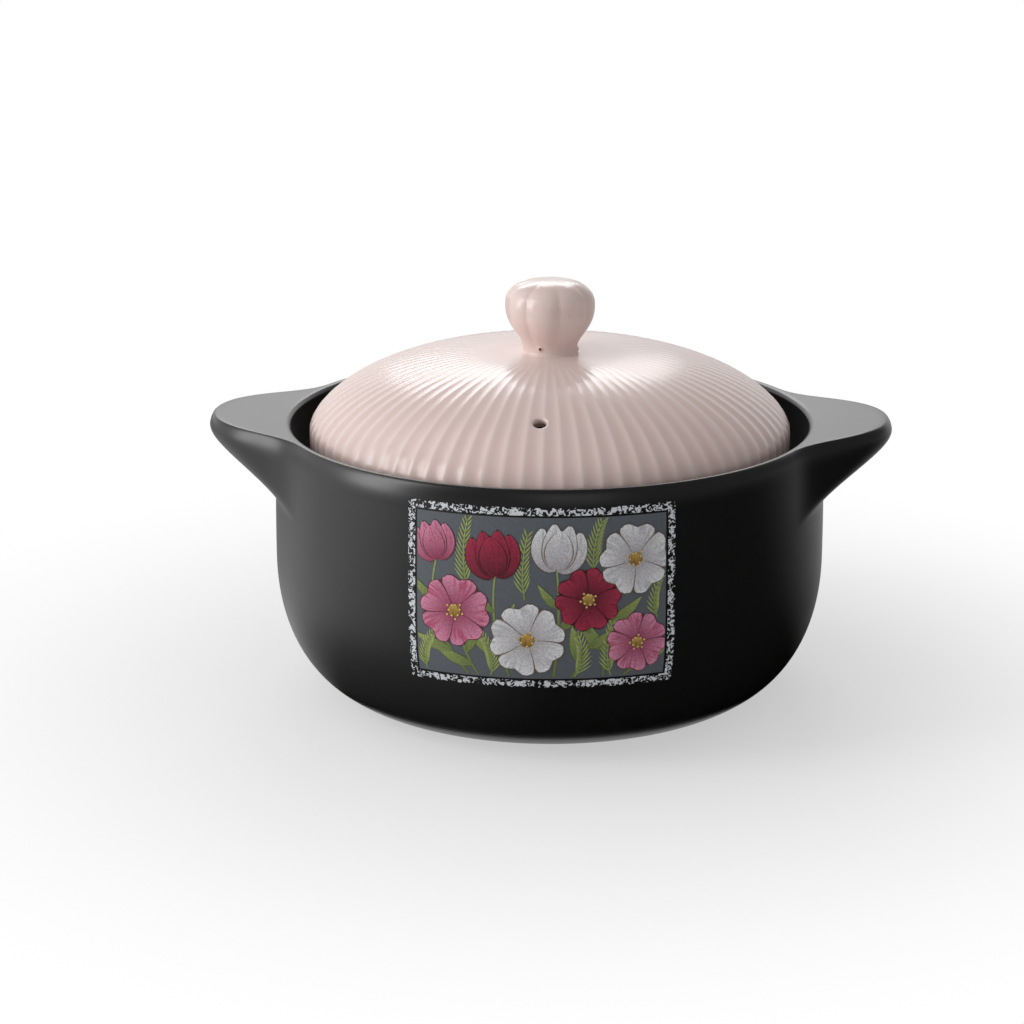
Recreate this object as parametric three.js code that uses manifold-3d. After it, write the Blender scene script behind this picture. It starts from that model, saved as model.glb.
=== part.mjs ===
// Casserole pot: a black glazed clay pot with two ears, and a pink fluted lid with a knob.
// Millimetres, +Z up. The origin is the centre of the foot ring, where the pot stands.
// The ears lie along X and the printed panel faces -Y.

import * as THREE from "three";
import { mergeVertices } from "three/addons/utils/BufferGeometryUtils.js";
import Module from "manifold-3d";

// Pot: outside
const POT_HEIGHT = 113;
const BODY_RADIUS = 112.9;
const BELLY_HEIGHT = 58;
const BASE_RADIUS = 70.9;
const CORNER_FULLNESS = 2.2;
const RIM_TAPER = 0.9;
const RIM_ROUND = 3;
const FOOT_WIDTH = 9;
const FOOT_RECESS = 1.5;

// Pot: inside
const WALL = 8;
const FLOOR = 9;
const HEEL_BACKING = 5;
const RIM_WIDTH = 6.4;
const RIM_INNER_ROUND = 1.5;
const GALLERY_DEPTH = 13;
const GALLERY_TAPER = 4.3;
const LEDGE_WIDTH = 8;
const LEDGE_THICKNESS = 5;
const LEDGE_SLOPE_HEIGHT = 10;

// Ears
const EAR_REACH = 27.1;
const EAR_DEPTH = 31;
const EAR_ROOT_WIDTH = 93;
const EAR_ROUND = 3.9;
const EAR_TILT = 1.5;
const EAR_PLAN_FULLNESS = 1.36;
const EAR_SIDE_FULLNESS = 0.85;
const EAR_EDGE_SHARPNESS = 2.2;

// Lid
const LID_CLEARANCE = 3;
const LID_HEIGHT = 40;
const LID_EDGE_HEIGHT = 7.2;
const LID_EDGE_ROUND = 2;
const LID_WALL = 5;
const SEAT_WIDTH = 6;
const CROWN_RADIUS = 28;
const DOME_FULLNESS = 1.94;
const DOME_RISE_FULLNESS = 1.6;
const FLUTE_COUNT = 80;
const FLUTE_DEPTH = 0.6;

// Steam vent in the dome, a little to the left of the front
const VENT_RADIUS = 2.7;
const VENT_CENTRE_RADIUS = 75.7;
const VENT_TURN_DEG = -1.2;
const VENT_SLANT_DEG = 26;

// Knob: hollow, with a pin hole that let the air out in firing
const KNOB_HEIGHT = 29.4;
const KNOB_RADIUS = 18.4;
const KNOB_NECK_RADIUS = 10.9;
const KNOB_BELLY_HEIGHT = 19;
const KNOB_FULLNESS = 2.6;
const KNOB_WALL = 4;
const LOBE_COUNT = 8;
const LOBE_DEPTH = 0.9;
const GROOVE_TURN_DEG = 14.2;
const PIN_HOLE_RADIUS = 0.6;
const PIN_HOLE_HEIGHT = 2.6;
const PIN_HOLE_TURN_DEG = -18.4;

// Printed panel on the front
const PRINT_WIDTH = 104.6;
const PRINT_HEIGHT = 71.3;
const PRINT_DROP = 6.3;
const PRINT_CORNER = 2;
const PRINT_THICKNESS = 0.4;

// Clearance between pieces that bear on each other
const FIT_GAP = 0.3;

// Fineness of the round shapes
const POT_SEGMENTS = 72;
const KNOB_SEGMENTS = LOBE_COUNT * 4;
const LID_SEGMENTS = FLUTE_COUNT * 2;
const HOLE_SEGMENTS = 16;
const CURVE_STEPS = 8;
const HOLLOW_STEPS = 4;
const ROUND_STEPS = 3;
const EAR_STEPS = 10;
const EAR_TURNS = 26;

// Places that follow from the sizes
const rimRadius = BODY_RADIUS - RIM_TAPER;
const mouthRadius = rimRadius - RIM_WIDTH;
const ledgeOuterRadius = mouthRadius - GALLERY_TAPER;
const ledgeInnerRadius = ledgeOuterRadius - LEDGE_WIDTH;
const ledgeZ = POT_HEIGHT - GALLERY_DEPTH;
const lidRadius = ledgeOuterRadius - LID_CLEARANCE;
const lidZ = ledgeZ + FIT_GAP;
const lidEdgeTop = LID_EDGE_ROUND + LID_EDGE_HEIGHT;
const knobZ = lidZ + LID_HEIGHT + FIT_GAP;

const wasm = await Module();
wasm.setup();

/** Closed geometry as a solid: vertices merged, and triangles that collapse at a pole dropped. */
function solid(geometry) {
  const bare = geometry.clone();
  for (const name of Object.keys(bare.attributes)) {
    if (name !== "position") bare.deleteAttribute(name);
  }
  const merged = mergeVertices(bare, 1e-4);
  const index = merged.index.array;
  const triangles = [];
  for (let i = 0; i < index.length; i += 3) {
    const [a, b, c] = index.subarray(i, i + 3);
    if (a !== b && b !== c && c !== a) triangles.push(a, b, c);
  }
  return new wasm.Manifold(new wasm.Mesh({
    numProp: 3,
    vertProperties: new Float32Array(merged.attributes.position.array),
    triVerts: new Uint32Array(triangles),
  }));
}

/** A solid as geometry, with flat faces. */
function faceted(body) {
  const mesh = body.getMesh();
  const geometry = new THREE.BufferGeometry();
  geometry.setAttribute("position", new THREE.BufferAttribute(mesh.vertProperties, 3));
  geometry.setIndex(new THREE.BufferAttribute(mesh.triVerts, 1));
  geometry.computeVertexNormals();
  return geometry;
}

/** Points of a superellipse quarter, from straight below (or above) its centre out to its side. */
function superellipse(centreR, centreZ, reach, rise, fullness, verticalFullness, steps) {
  const points = [];
  for (let i = 0; i <= steps; i += 1) {
    const turn = (i / steps) * (Math.PI / 2);
    const out = Math.sin(turn) ** (2 / fullness);
    const up = Math.max(Math.cos(turn), 0) ** (2 / verticalFullness);
    points.push(new THREE.Vector2(centreR + reach * out, centreZ + rise * up));
  }
  return points;
}

/** Points of a quarter round from one angle to another, in degrees. */
function quarterRound(centreR, centreZ, radius, fromDeg, toDeg) {
  const points = [];
  for (let i = 0; i <= ROUND_STEPS; i += 1) {
    const turn = THREE.MathUtils.degToRad(fromDeg + ((toDeg - fromDeg) * i) / ROUND_STEPS);
    points.push(new THREE.Vector2(centreR + radius * Math.cos(turn), centreZ + radius * Math.sin(turn)));
  }
  return points;
}

/** A profile of (radius, height) points turned about Z. The first seam lies at the front. */
function turned(points, segments) {
  const distinct = points.filter((p, i) => i === 0 || p.distanceTo(points[i - 1]) > 1e-3);
  return new THREE.LatheGeometry(distinct, segments);
}

/** Lathe geometry stood upright, +Y of the lathe becoming +Z. */
function upright(geometry) {
  return geometry.rotateX(Math.PI / 2);
}

/** Sinks a lathe's surface along its normals by a depth that varies round it and with the radius. */
function carved(geometry, depthAt) {
  const position = geometry.attributes.position;
  const normal = geometry.attributes.normal;
  const point = new THREE.Vector3();
  const outward = new THREE.Vector3();
  for (let i = 0; i < position.count; i += 1) {
    point.fromBufferAttribute(position, i);
    outward.fromBufferAttribute(normal, i);
    const depth = depthAt(Math.atan2(point.x, point.z), Math.hypot(point.x, point.z), point.y);
    point.addScaledVector(outward, -depth);
    position.setXYZ(i, point.x, point.y, point.z);
  }
  return geometry;
}

/** The pot's outside from the edge of the foot to the top of the rim, grown by a clearance. */
function outsideProfile(grow) {
  const corner = superellipse(
    BASE_RADIUS + grow, BELLY_HEIGHT, BODY_RADIUS - BASE_RADIUS, -BELLY_HEIGHT,
    CORNER_FULLNESS, CORNER_FULLNESS, CURVE_STEPS);
  const rimStart = new THREE.Vector2(rimRadius + grow, POT_HEIGHT - RIM_ROUND);
  const upper = new THREE.QuadraticBezierCurve(
    new THREE.Vector2(BODY_RADIUS + grow, BELLY_HEIGHT),
    new THREE.Vector2(BODY_RADIUS + grow, (BELLY_HEIGHT + rimStart.y) / 2),
    rimStart,
  );
  const rim = quarterRound(rimRadius - RIM_ROUND + grow, POT_HEIGHT - RIM_ROUND, RIM_ROUND, 0, 90);
  return [...corner, ...upper.getPoints(ROUND_STEPS), ...rim];
}

/** The pot's outside as a filled solid, grown by a clearance and carried up past the rim. */
function filledPot(grow) {
  const profile = outsideProfile(grow).filter((p) => p.y <= POT_HEIGHT - RIM_ROUND);
  const top = profile[profile.length - 1];
  return solid(upright(turned([
    new THREE.Vector2(0, 0),
    ...profile,
    new THREE.Vector2(top.x, POT_HEIGHT + GALLERY_DEPTH),
    new THREE.Vector2(0, POT_HEIGHT + GALLERY_DEPTH),
  ], POT_SEGMENTS)));
}

/** Pot: foot ring, wall, rolled rim, gallery with the ledge that the lid sits on, and inside. */
function potBody() {
  const footInner = BASE_RADIUS - FOOT_WIDTH;
  const insideRadius = BODY_RADIUS - WALL;
  const insideBase = BASE_RADIUS - HEEL_BACKING;
  const ledgeUnderZ = ledgeZ - LEDGE_THICKNESS;
  const inside = superellipse(
    insideBase, BELLY_HEIGHT, insideRadius - insideBase, FLOOR - BELLY_HEIGHT,
    CORNER_FULLNESS, CORNER_FULLNESS, CURVE_STEPS).reverse();
  const profile = [
    new THREE.Vector2(0, FOOT_RECESS),
    new THREE.Vector2(footInner - FOOT_RECESS, FOOT_RECESS),
    new THREE.Vector2(footInner, 0),
    ...outsideProfile(0),
    ...quarterRound(mouthRadius + RIM_INNER_ROUND, POT_HEIGHT - RIM_INNER_ROUND, RIM_INNER_ROUND, 90, 180),
    new THREE.Vector2(ledgeOuterRadius, ledgeZ),
    new THREE.Vector2(ledgeInnerRadius, ledgeZ),
    new THREE.Vector2(ledgeInnerRadius, ledgeUnderZ),
    new THREE.Vector2(insideRadius, ledgeUnderZ - LEDGE_SLOPE_HEIGHT),
    ...inside,
    new THREE.Vector2(0, FLOOR),
  ];
  return faceted(solid(upright(turned(profile, POT_SEGMENTS))));
}

/** A smooth fall from 1 to 0 as its share goes from 0 to 1, level at both ends. */
function fall(share, fullness) {
  return (1 + Math.cos(Math.PI * Math.min(Math.max(share, 0), 1) ** fullness)) / 2;
}

/** Share of the ear's full reach, at a turn from its middle and a depth below the rim. */
function earShare(turn, depth) {
  const rootTurn = Math.asin(EAR_ROOT_WIDTH / 2 / rimRadius);
  const plan = fall(Math.abs(turn) / rootTurn, EAR_PLAN_FULLNESS);
  const side = fall((depth - EAR_ROUND) / (EAR_DEPTH - EAR_ROUND), EAR_SIDE_FULLNESS);
  const joined = plan ** -EAR_EDGE_SHARPNESS + side ** -EAR_EDGE_SHARPNESS - 1;
  return joined ** (-1 / EAR_EDGE_SHARPNESS);
}

/** How far the rounded top edge of the ear lies back from its reach, at a depth below the rim. */
function earRounding(depth) {
  const edge = Math.min(depth, EAR_ROUND);
  return EAR_ROUND - Math.sqrt(EAR_ROUND ** 2 - (EAR_ROUND - edge) ** 2);
}

/** Depths of the ear's sections: close together over the rounded top edge, then even steps. */
function earDepths() {
  const depths = [];
  for (let i = 0; i < ROUND_STEPS; i += 1) depths.push((EAR_ROUND * i * i) / ROUND_STEPS ** 2);
  for (let i = 0; i <= EAR_STEPS; i += 1) {
    depths.push(EAR_ROUND + ((EAR_DEPTH - EAR_ROUND) * i) / EAR_STEPS);
  }
  return depths;
}

/** Right ear: sections stacked from its top down, closed inside the wall and cut back to it. */
function earHandle() {
  const rootTurn = Math.asin(EAR_ROOT_WIDTH / 2 / rimRadius);
  const reach = BODY_RADIUS + EAR_REACH - rimRadius;
  const depths = earDepths();
  const corners = [];
  for (const depth of depths) {
    for (let i = 0; i <= EAR_TURNS; i += 1) {
      const turn = rootTurn * ((2 * i) / EAR_TURNS - 1);
      const share = earShare(turn, depth);
      const radius = rimRadius + reach * share - earRounding(depth);
      corners.push(radius * Math.cos(turn), radius * Math.sin(turn), POT_HEIGHT - depth + EAR_TILT * share);
    }
    for (const turn of [rootTurn, -rootTurn]) {
      const radius = rimRadius - WALL;
      corners.push(radius * Math.cos(turn), radius * Math.sin(turn), POT_HEIGHT - depth);
    }
  }
  const ring = corners.length / 3 / depths.length;
  const lastRing = ring * (depths.length - 1);
  const faces = [];
  for (let i = 0; i < ring; i += 1) {
    const next = (i + 1) % ring;
    for (let above = 0; above < lastRing; above += ring) {
      const below = above + ring;
      faces.push(above + i, below + i, below + next, above + i, below + next, above + next);
    }
  }
  const outline = [];
  for (let i = 0; i < ring; i += 1) outline.push(new THREE.Vector2(corners[i * 3], corners[i * 3 + 1]));
  for (const [a, b, c] of THREE.ShapeUtils.triangulateShape(outline, [])) {
    faces.push(a, b, c, lastRing + c, lastRing + b, lastRing + a);
  }
  const stack = new THREE.BufferGeometry();
  stack.setAttribute("position", new THREE.Float32BufferAttribute(corners, 3));
  stack.setIndex(faces);
  return faceted(solid(stack).subtract(filledPot(FIT_GAP)));
}

/** Lid: fluted dome on an upright skirt, hollow below, with a slanted vent through it. */
function lidDome() {
  const seatInner = lidRadius - LID_EDGE_ROUND - SEAT_WIDTH;
  const dome = superellipse(
    CROWN_RADIUS, lidEdgeTop, lidRadius - CROWN_RADIUS, LID_HEIGHT - lidEdgeTop,
    DOME_FULLNESS, DOME_RISE_FULLNESS, CURVE_STEPS);
  const hollow = superellipse(
    CROWN_RADIUS, LID_EDGE_HEIGHT, seatInner - CROWN_RADIUS, LID_HEIGHT - LID_WALL - LID_EDGE_HEIGHT,
    DOME_FULLNESS, DOME_RISE_FULLNESS, HOLLOW_STEPS).reverse();
  const profile = [
    new THREE.Vector2(0, LID_HEIGHT),
    ...dome,
    ...quarterRound(lidRadius - LID_EDGE_ROUND, LID_EDGE_ROUND, LID_EDGE_ROUND, 0, -90),
    new THREE.Vector2(seatInner, 0),
    ...hollow,
    new THREE.Vector2(0, LID_HEIGHT - LID_WALL),
  ].reverse();
  const fluteDepth = (turn, radius, height) => {
    const outside = height > lidEdgeTop && radius > CROWN_RADIUS && height > domeUnderside(radius);
    return outside ? FLUTE_DEPTH * (radius / lidRadius) * Math.abs(Math.sin((turn * FLUTE_COUNT) / 2)) : 0;
  };
  const shell = solid(upright(carved(turned(profile, LID_SEGMENTS), fluteDepth)));
  const vent = new THREE.CylinderGeometry(VENT_RADIUS, VENT_RADIUS, LID_HEIGHT, HOLE_SEGMENTS)
    .rotateX(Math.PI / 2 + THREE.MathUtils.degToRad(VENT_SLANT_DEG))
    .translate(0, -VENT_CENTRE_RADIUS, domeTop(VENT_CENTRE_RADIUS))
    .rotateZ(THREE.MathUtils.degToRad(VENT_TURN_DEG));
  return faceted(shell.subtract(solid(vent)));
}

/** Height of the dome's outside over the lid's seat, at a radius. */
function domeTop(radius) {
  const share = (radius - CROWN_RADIUS) / (lidRadius - CROWN_RADIUS);
  const rise = (1 - share ** DOME_FULLNESS) ** (1 / DOME_RISE_FULLNESS);
  return lidEdgeTop + (LID_HEIGHT - lidEdgeTop) * rise;
}

/** A height between the dome's outside and its hollow, which tells the two apart. */
function domeUnderside(radius) {
  return domeTop(Math.min(radius, lidRadius)) - LID_WALL / 2;
}

/** Knob: a lobed bulb on a narrower neck, hollow and open below, with a pin hole in the neck. */
function lidKnob() {
  const bulb = (wall, steps) => [
    ...superellipse(
      0, KNOB_BELLY_HEIGHT, KNOB_RADIUS - wall, KNOB_HEIGHT - KNOB_BELLY_HEIGHT - wall,
      KNOB_FULLNESS, KNOB_FULLNESS, steps),
    ...new THREE.CubicBezierCurve(
      new THREE.Vector2(KNOB_RADIUS - wall, KNOB_BELLY_HEIGHT),
      new THREE.Vector2(KNOB_RADIUS - wall, KNOB_BELLY_HEIGHT / 2),
      new THREE.Vector2(KNOB_NECK_RADIUS - wall, KNOB_BELLY_HEIGHT / 3),
      new THREE.Vector2(KNOB_NECK_RADIUS - wall, 0),
    ).getPoints(steps),
  ];
  const profile = [...bulb(0, CURVE_STEPS), ...bulb(KNOB_WALL, HOLLOW_STEPS).reverse()].reverse();
  const cavityRadius = KNOB_RADIUS - KNOB_WALL;
  const lobeDepth = (turn, radius) => {
    const share = Math.max(radius - cavityRadius, 0) / KNOB_WALL;
    return LOBE_DEPTH * share * (1 - Math.abs(Math.sin((turn * LOBE_COUNT) / 2)));
  };
  const bulbShell = upright(carved(turned(profile, KNOB_SEGMENTS), lobeDepth));
  const shell = solid(bulbShell.rotateZ(THREE.MathUtils.degToRad(GROOVE_TURN_DEG)));
  const pinHole = new THREE.CylinderGeometry(PIN_HOLE_RADIUS, PIN_HOLE_RADIUS, KNOB_WALL * 2, HOLE_SEGMENTS)
    .translate(0, -KNOB_NECK_RADIUS, PIN_HOLE_HEIGHT)
    .rotateZ(THREE.MathUtils.degToRad(PIN_HOLE_TURN_DEG));
  return faceted(shell.subtract(solid(pinHole)));
}

/** Printed panel: a thin skin on the front of the wall, cut to a rectangle with rounded corners. */
function frontPrint() {
  const skin = filledPot(FIT_GAP + PRINT_THICKNESS).subtract(filledPot(FIT_GAP));
  const halfWidth = BODY_RADIUS * Math.sin(PRINT_WIDTH / 2 / BODY_RADIUS);
  const top = POT_HEIGHT - PRINT_DROP;
  const bottom = top - PRINT_HEIGHT;
  const outline = new THREE.Shape();
  outline.moveTo(-halfWidth + PRINT_CORNER, bottom);
  outline.lineTo(halfWidth - PRINT_CORNER, bottom);
  outline.absarc(halfWidth - PRINT_CORNER, bottom + PRINT_CORNER, PRINT_CORNER, -Math.PI / 2, 0);
  outline.absarc(halfWidth - PRINT_CORNER, top - PRINT_CORNER, PRINT_CORNER, 0, Math.PI / 2);
  outline.absarc(-halfWidth + PRINT_CORNER, top - PRINT_CORNER, PRINT_CORNER, Math.PI / 2, Math.PI);
  outline.absarc(-halfWidth + PRINT_CORNER, bottom + PRINT_CORNER, PRINT_CORNER, Math.PI, Math.PI * 1.5);
  const cutter = new THREE.ExtrudeGeometry(outline, {
    depth: BODY_RADIUS * 2,
    curveSegments: ROUND_STEPS,
    bevelEnabled: false,
  }).rotateX(Math.PI / 2);
  return faceted(skin.intersect(solid(cutter)));
}

/** One named piece with its own glaze. */
function piece(name, geometry, color, roughness) {
  const mesh = new THREE.Mesh(geometry, new THREE.MeshStandardMaterial({ color, roughness, metalness: 0 }));
  mesh.name = name;
  return mesh;
}

const BLACK_GLAZE = 0x1c1c1d;
const BLUSH_GLAZE = 0xe6cfca;
const PRINT_GREY = 0x565a60;

const casserole = new THREE.Group();

const ear = earHandle();
const leftHandle = piece("left_handle", ear, BLACK_GLAZE, 0.35);
leftHandle.rotation.z = Math.PI;
casserole.add(
  piece("pot_body", potBody(), BLACK_GLAZE, 0.35),
  piece("right_handle", ear, BLACK_GLAZE, 0.35),
  leftHandle,
  piece("front_print", frontPrint(), PRINT_GREY, 0.45),
);

const lid = new THREE.Group();
lid.position.z = lidZ;
lid.add(piece("lid_dome", lidDome(), BLUSH_GLAZE, 0.3));
casserole.add(lid);

const knob = piece("lid_knob", lidKnob(), BLUSH_GLAZE, 0.3);
knob.position.z = knobZ;
casserole.add(knob);

export default casserole;
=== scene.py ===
import logging
import math
from collections.abc import Iterator
from contextlib import contextmanager
from dataclasses import dataclass, field
from enum import Enum
from itertools import pairwise

import bpy
import numpy as np
from mathutils import Matrix, Vector


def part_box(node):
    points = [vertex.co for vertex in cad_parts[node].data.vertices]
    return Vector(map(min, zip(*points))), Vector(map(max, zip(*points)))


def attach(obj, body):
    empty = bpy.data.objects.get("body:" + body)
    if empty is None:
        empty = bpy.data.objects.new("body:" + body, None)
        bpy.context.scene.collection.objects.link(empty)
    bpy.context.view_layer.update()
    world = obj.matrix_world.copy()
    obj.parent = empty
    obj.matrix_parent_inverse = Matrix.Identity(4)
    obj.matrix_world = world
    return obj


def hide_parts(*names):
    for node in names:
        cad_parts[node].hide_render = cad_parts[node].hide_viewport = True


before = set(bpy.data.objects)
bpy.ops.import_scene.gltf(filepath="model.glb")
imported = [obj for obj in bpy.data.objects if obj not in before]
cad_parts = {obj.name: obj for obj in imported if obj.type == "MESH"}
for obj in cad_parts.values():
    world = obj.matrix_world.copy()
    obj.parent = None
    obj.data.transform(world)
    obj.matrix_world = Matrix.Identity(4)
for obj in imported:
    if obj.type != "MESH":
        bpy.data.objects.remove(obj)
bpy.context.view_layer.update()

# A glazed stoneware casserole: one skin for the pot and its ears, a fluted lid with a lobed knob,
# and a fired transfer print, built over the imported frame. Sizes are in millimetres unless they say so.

LOG = logging.getLogger("casserole")
MM = 0.001
MERGE_DISTANCE = MM / 500
TINY = 1e-9

Spot = tuple[float, float]
Section = list[Spot]
FlatSpot = Spot | np.ndarray
Source = bpy.types.Node | bpy.types.NodeSocket


class Body(Enum):
    """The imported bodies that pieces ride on."""

    POT = "pot"
    LID = "lid"


class Slot(Enum):
    """The record's material slots."""

    POT_GLAZE = "pot_glaze"
    PRINT = "print"
    LID_GLAZE = "lid_glaze"


# Frame

def low_corner(node: str) -> Vector:
    """Lowest corner of a CAD node, in millimetres."""
    return Vector(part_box(node)[0]) / MM


def high_corner(node: str) -> Vector:
    """Highest corner of a CAD node, in millimetres."""
    return Vector(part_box(node)[1]) / MM


def hand_over(piece: bpy.types.Object, body: Body, slot: Slot, *nodes: str) -> None:
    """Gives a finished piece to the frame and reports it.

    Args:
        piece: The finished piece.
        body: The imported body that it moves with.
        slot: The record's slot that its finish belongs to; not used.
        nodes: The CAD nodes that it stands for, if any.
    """
    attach(piece, body.value)
    if nodes:
        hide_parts(*nodes)
    LOG.info("%s: %d faces, rides on %s", piece.name, len(piece.data.polygons), body.value)


# Modelling

def deselect_all() -> None:
    """Deselects every object."""
    bpy.ops.object.select_all(action="DESELECT")


def select_only(piece: bpy.types.Object) -> None:
    """Selects one object and makes it the active one.

    Args:
        piece: The object to select.
    """
    deselect_all()
    piece.select_set(True)
    bpy.context.view_layer.objects.active = piece


@contextmanager
def editing(piece: bpy.types.Object) -> Iterator[None]:
    """Opens a piece in edit mode with all its vertices selected, and closes it again.

    Args:
        piece: The mesh object to edit.

    Returns:
        A context inside which the mesh operators act on the piece.
    """
    select_only(piece)
    bpy.ops.object.mode_set(mode="EDIT")
    bpy.ops.mesh.select_mode(type="VERT")
    bpy.ops.mesh.select_all(action="SELECT")
    yield
    bpy.ops.object.mode_set(mode="OBJECT")


def turn_section(name: str, section: Section, steps: int) -> bpy.types.Object:
    """Draws a half section by extruding a point along it, and spins it round the Z axis.

    Args:
        name: Name of the new piece.
        section: Radius and height of each point, from axis to axis.
        steps: Number of steps in the full turn.

    Returns:
        The closed, turned piece.
    """
    deselect_all()
    bpy.ops.mesh.primitive_plane_add(size=MM)
    piece = bpy.context.object
    piece.name = name
    radius, height = section[0]
    with editing(piece):
        bpy.ops.mesh.merge(type="CENTER")
        bpy.ops.transform.translate(value=(radius * MM, 0, height * MM))
        for (from_radius, from_height), (to_radius, to_height) in pairwise(section):
            step = ((to_radius - from_radius) * MM, 0, (to_height - from_height) * MM)
            bpy.ops.mesh.extrude_region_move(TRANSFORM_OT_translate={"value": step})
        bpy.ops.mesh.select_all(action="SELECT")
        bpy.ops.mesh.spin(steps=steps, angle=math.tau, center=(0, 0, 0), axis=(0, 0, 1))
        bpy.ops.mesh.select_all(action="SELECT")
        bpy.ops.mesh.remove_doubles(threshold=MERGE_DISTANCE)
        bpy.ops.mesh.normals_make_consistent(inside=False)
    return piece


def read_vertices(piece: bpy.types.Object, what: str) -> np.ndarray:
    """Reads one vector of every vertex.

    Args:
        piece: The mesh object.
        what: Blender's name of the vector.

    Returns:
        One row for each vertex.
    """
    flat = np.empty(len(piece.data.vertices) * 3, dtype=np.float32)
    piece.data.vertices.foreach_get(what, flat)
    return flat.reshape(-1, 3).astype(float)


def places_of(piece: bpy.types.Object) -> np.ndarray:
    """Vertex places of a piece in millimetres, one row each."""
    return read_vertices(piece, "co") / MM


def move_vertices(piece: bpy.types.Object, places: np.ndarray) -> None:
    """Puts the vertices of a piece at new places, given in millimetres."""
    piece.data.vertices.foreach_set("co", (places * MM).astype(np.float32).ravel())
    piece.data.update()


def press_in(piece: bpy.types.Object, depths: np.ndarray) -> None:
    """Presses each vertex of a piece in along its normal, by its own depth in millimetres."""
    move_vertices(piece, places_of(piece) - read_vertices(piece, "normal") * depths[:, None])


def mark_vertices(piece: bpy.types.Object, name: str, values: np.ndarray) -> None:
    """Stores one number per vertex, which a finish reads by name."""
    layer = piece.data.attributes.new(name, "FLOAT", "POINT")
    layer.data.foreach_set("value", values.astype(np.float32))


def radii_of(places: np.ndarray) -> np.ndarray:
    """Distance of each place from the Z axis."""
    return np.hypot(places[:, 0], places[:, 1])


def front_turn(places: np.ndarray) -> np.ndarray:
    """Turn of each place about the Z axis, from the front (-Y) towards the right (+X), in radians."""
    return np.arctan2(places[:, 0], -places[:, 1])


def way_out(turn_deg: float) -> Vector:
    """Level direction away from the Z axis, at a turn from the front towards the right."""
    turn = math.radians(turn_deg)
    return Vector((math.sin(turn), -math.cos(turn), 0))


def apply_modifier(piece: bpy.types.Object, kind: str, **settings: object) -> None:
    """Adds one modifier to a piece and applies it.

    Args:
        piece: The mesh object.
        kind: Blender's name of the modifier type.
        settings: Values of the modifier's properties.
    """
    modifier = piece.modifiers.new(kind.lower(), kind)
    for name, value in settings.items():
        setattr(modifier, name, value)
    select_only(piece)
    bpy.ops.object.modifier_apply(modifier=modifier.name)


def cut_out(piece: bpy.types.Object, cutter: bpy.types.Object) -> None:
    """Takes the shape of a closed cutter out of a piece, and deletes the cutter."""
    apply_modifier(piece, "BOOLEAN", object=cutter, operation="DIFFERENCE", solver="EXACT")
    bpy.data.objects.remove(cutter)


def smooth(piece: bpy.types.Object, angle_deg: float = 40.0) -> None:
    """Shades a piece smooth, apart from edges sharper than an angle."""
    select_only(piece)
    bpy.ops.object.shade_smooth_by_angle(angle=math.radians(angle_deg))


def dress(piece: bpy.types.Object, material: bpy.types.Material) -> None:
    """Gives a piece its only material."""
    piece.data.materials.clear()
    piece.data.materials.append(material)


# Curves

def arc(centre: Spot, reach: Spot, from_deg: float, to_deg: float, steps: int) -> Section:
    """Points of an elliptical arc in the half section.

    Args:
        centre: Radius and height of its centre.
        reach: Half width and half height of the ellipse.
        from_deg: First angle, from the radial direction upwards.
        to_deg: Last angle.
        steps: Number of steps.

    Returns:
        The points, both ends included.
    """
    turns = np.radians(np.linspace(from_deg, to_deg, steps + 1))
    radii = centre[0] + reach[0] * np.cos(turns)
    heights = centre[1] + reach[1] * np.sin(turns)
    return list(zip(radii.tolist(), heights.tolist()))


def full_quarter(centre: Spot, reach: Spot, fullness: Spot, steps: int) -> Section:
    """Points of a quarter superellipse, from over its centre to beside it.

    Args:
        centre: Radius and height of its centre.
        reach: How far it goes out, and up (or down, where negative).
        fullness: Exponents of the radial and of the upright direction; 2 and 2 give an ellipse.
        steps: Number of steps.

    Returns:
        The points, both ends included.
    """
    turns = np.linspace(0, math.pi / 2, steps + 1)
    radii = centre[0] + reach[0] * np.sin(turns) ** (2 / fullness[0])
    heights = centre[1] + reach[1] * np.clip(np.cos(turns), 0, 1) ** (2 / fullness[1])
    return list(zip(radii.tolist(), heights.tolist()))


def bezier(points: list[Spot], steps: int) -> Section:
    """Points of a Bezier curve of any degree.

    Args:
        points: Its two ends, with the guide points between them.
        steps: Number of steps.

    Returns:
        The points, both ends included.
    """
    shares = np.linspace(0, 1, steps + 1)
    degree = len(points) - 1
    curve = np.zeros((steps + 1, 2))
    for index, point in enumerate(points):
        weight = math.comb(degree, index) * shares ** index * (1 - shares) ** (degree - index)
        curve += weight[:, None] * np.array(point)
    return [tuple(row) for row in curve.tolist()]


def cosine_fall(shares: np.ndarray, fullness: float) -> np.ndarray:
    """Falls smoothly from 1 at share 0 to 0 at share 1, later where fullness is higher."""
    return (1 + np.cos(math.pi * np.clip(shares, 0, 1) ** fullness)) / 2


def soft_scallop(turns: np.ndarray, softness: float) -> np.ndarray:
    """Depth of an arch over each half turn, from 0 at its ends, which are rounded off, to about 1."""
    shares = turns / math.pi % 1
    return np.sqrt((4 * shares * (1 - shares)) ** 2 + softness ** 2) - softness


# Finishes

def linear(hex_colour: str) -> tuple[float, float, float, float]:
    """Turns an sRGB colour into a linear one.

    Args:
        hex_colour: The sRGB colour, as # and six hex digits.

    Returns:
        Linear red, green, blue and full alpha.
    """
    channels = [int(hex_colour[place:place + 2], 16) / 255 for place in (1, 3, 5)]
    shares = [c / 12.92 if c <= 0.04045 else ((c + 0.055) / 1.055) ** 2.4 for c in channels]
    return (*shares, 1.0)


def pattern_scale(size: float) -> float:
    """Texture scale that gives a pattern its size in millimetres."""
    return 1 / (size * MM)


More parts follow.
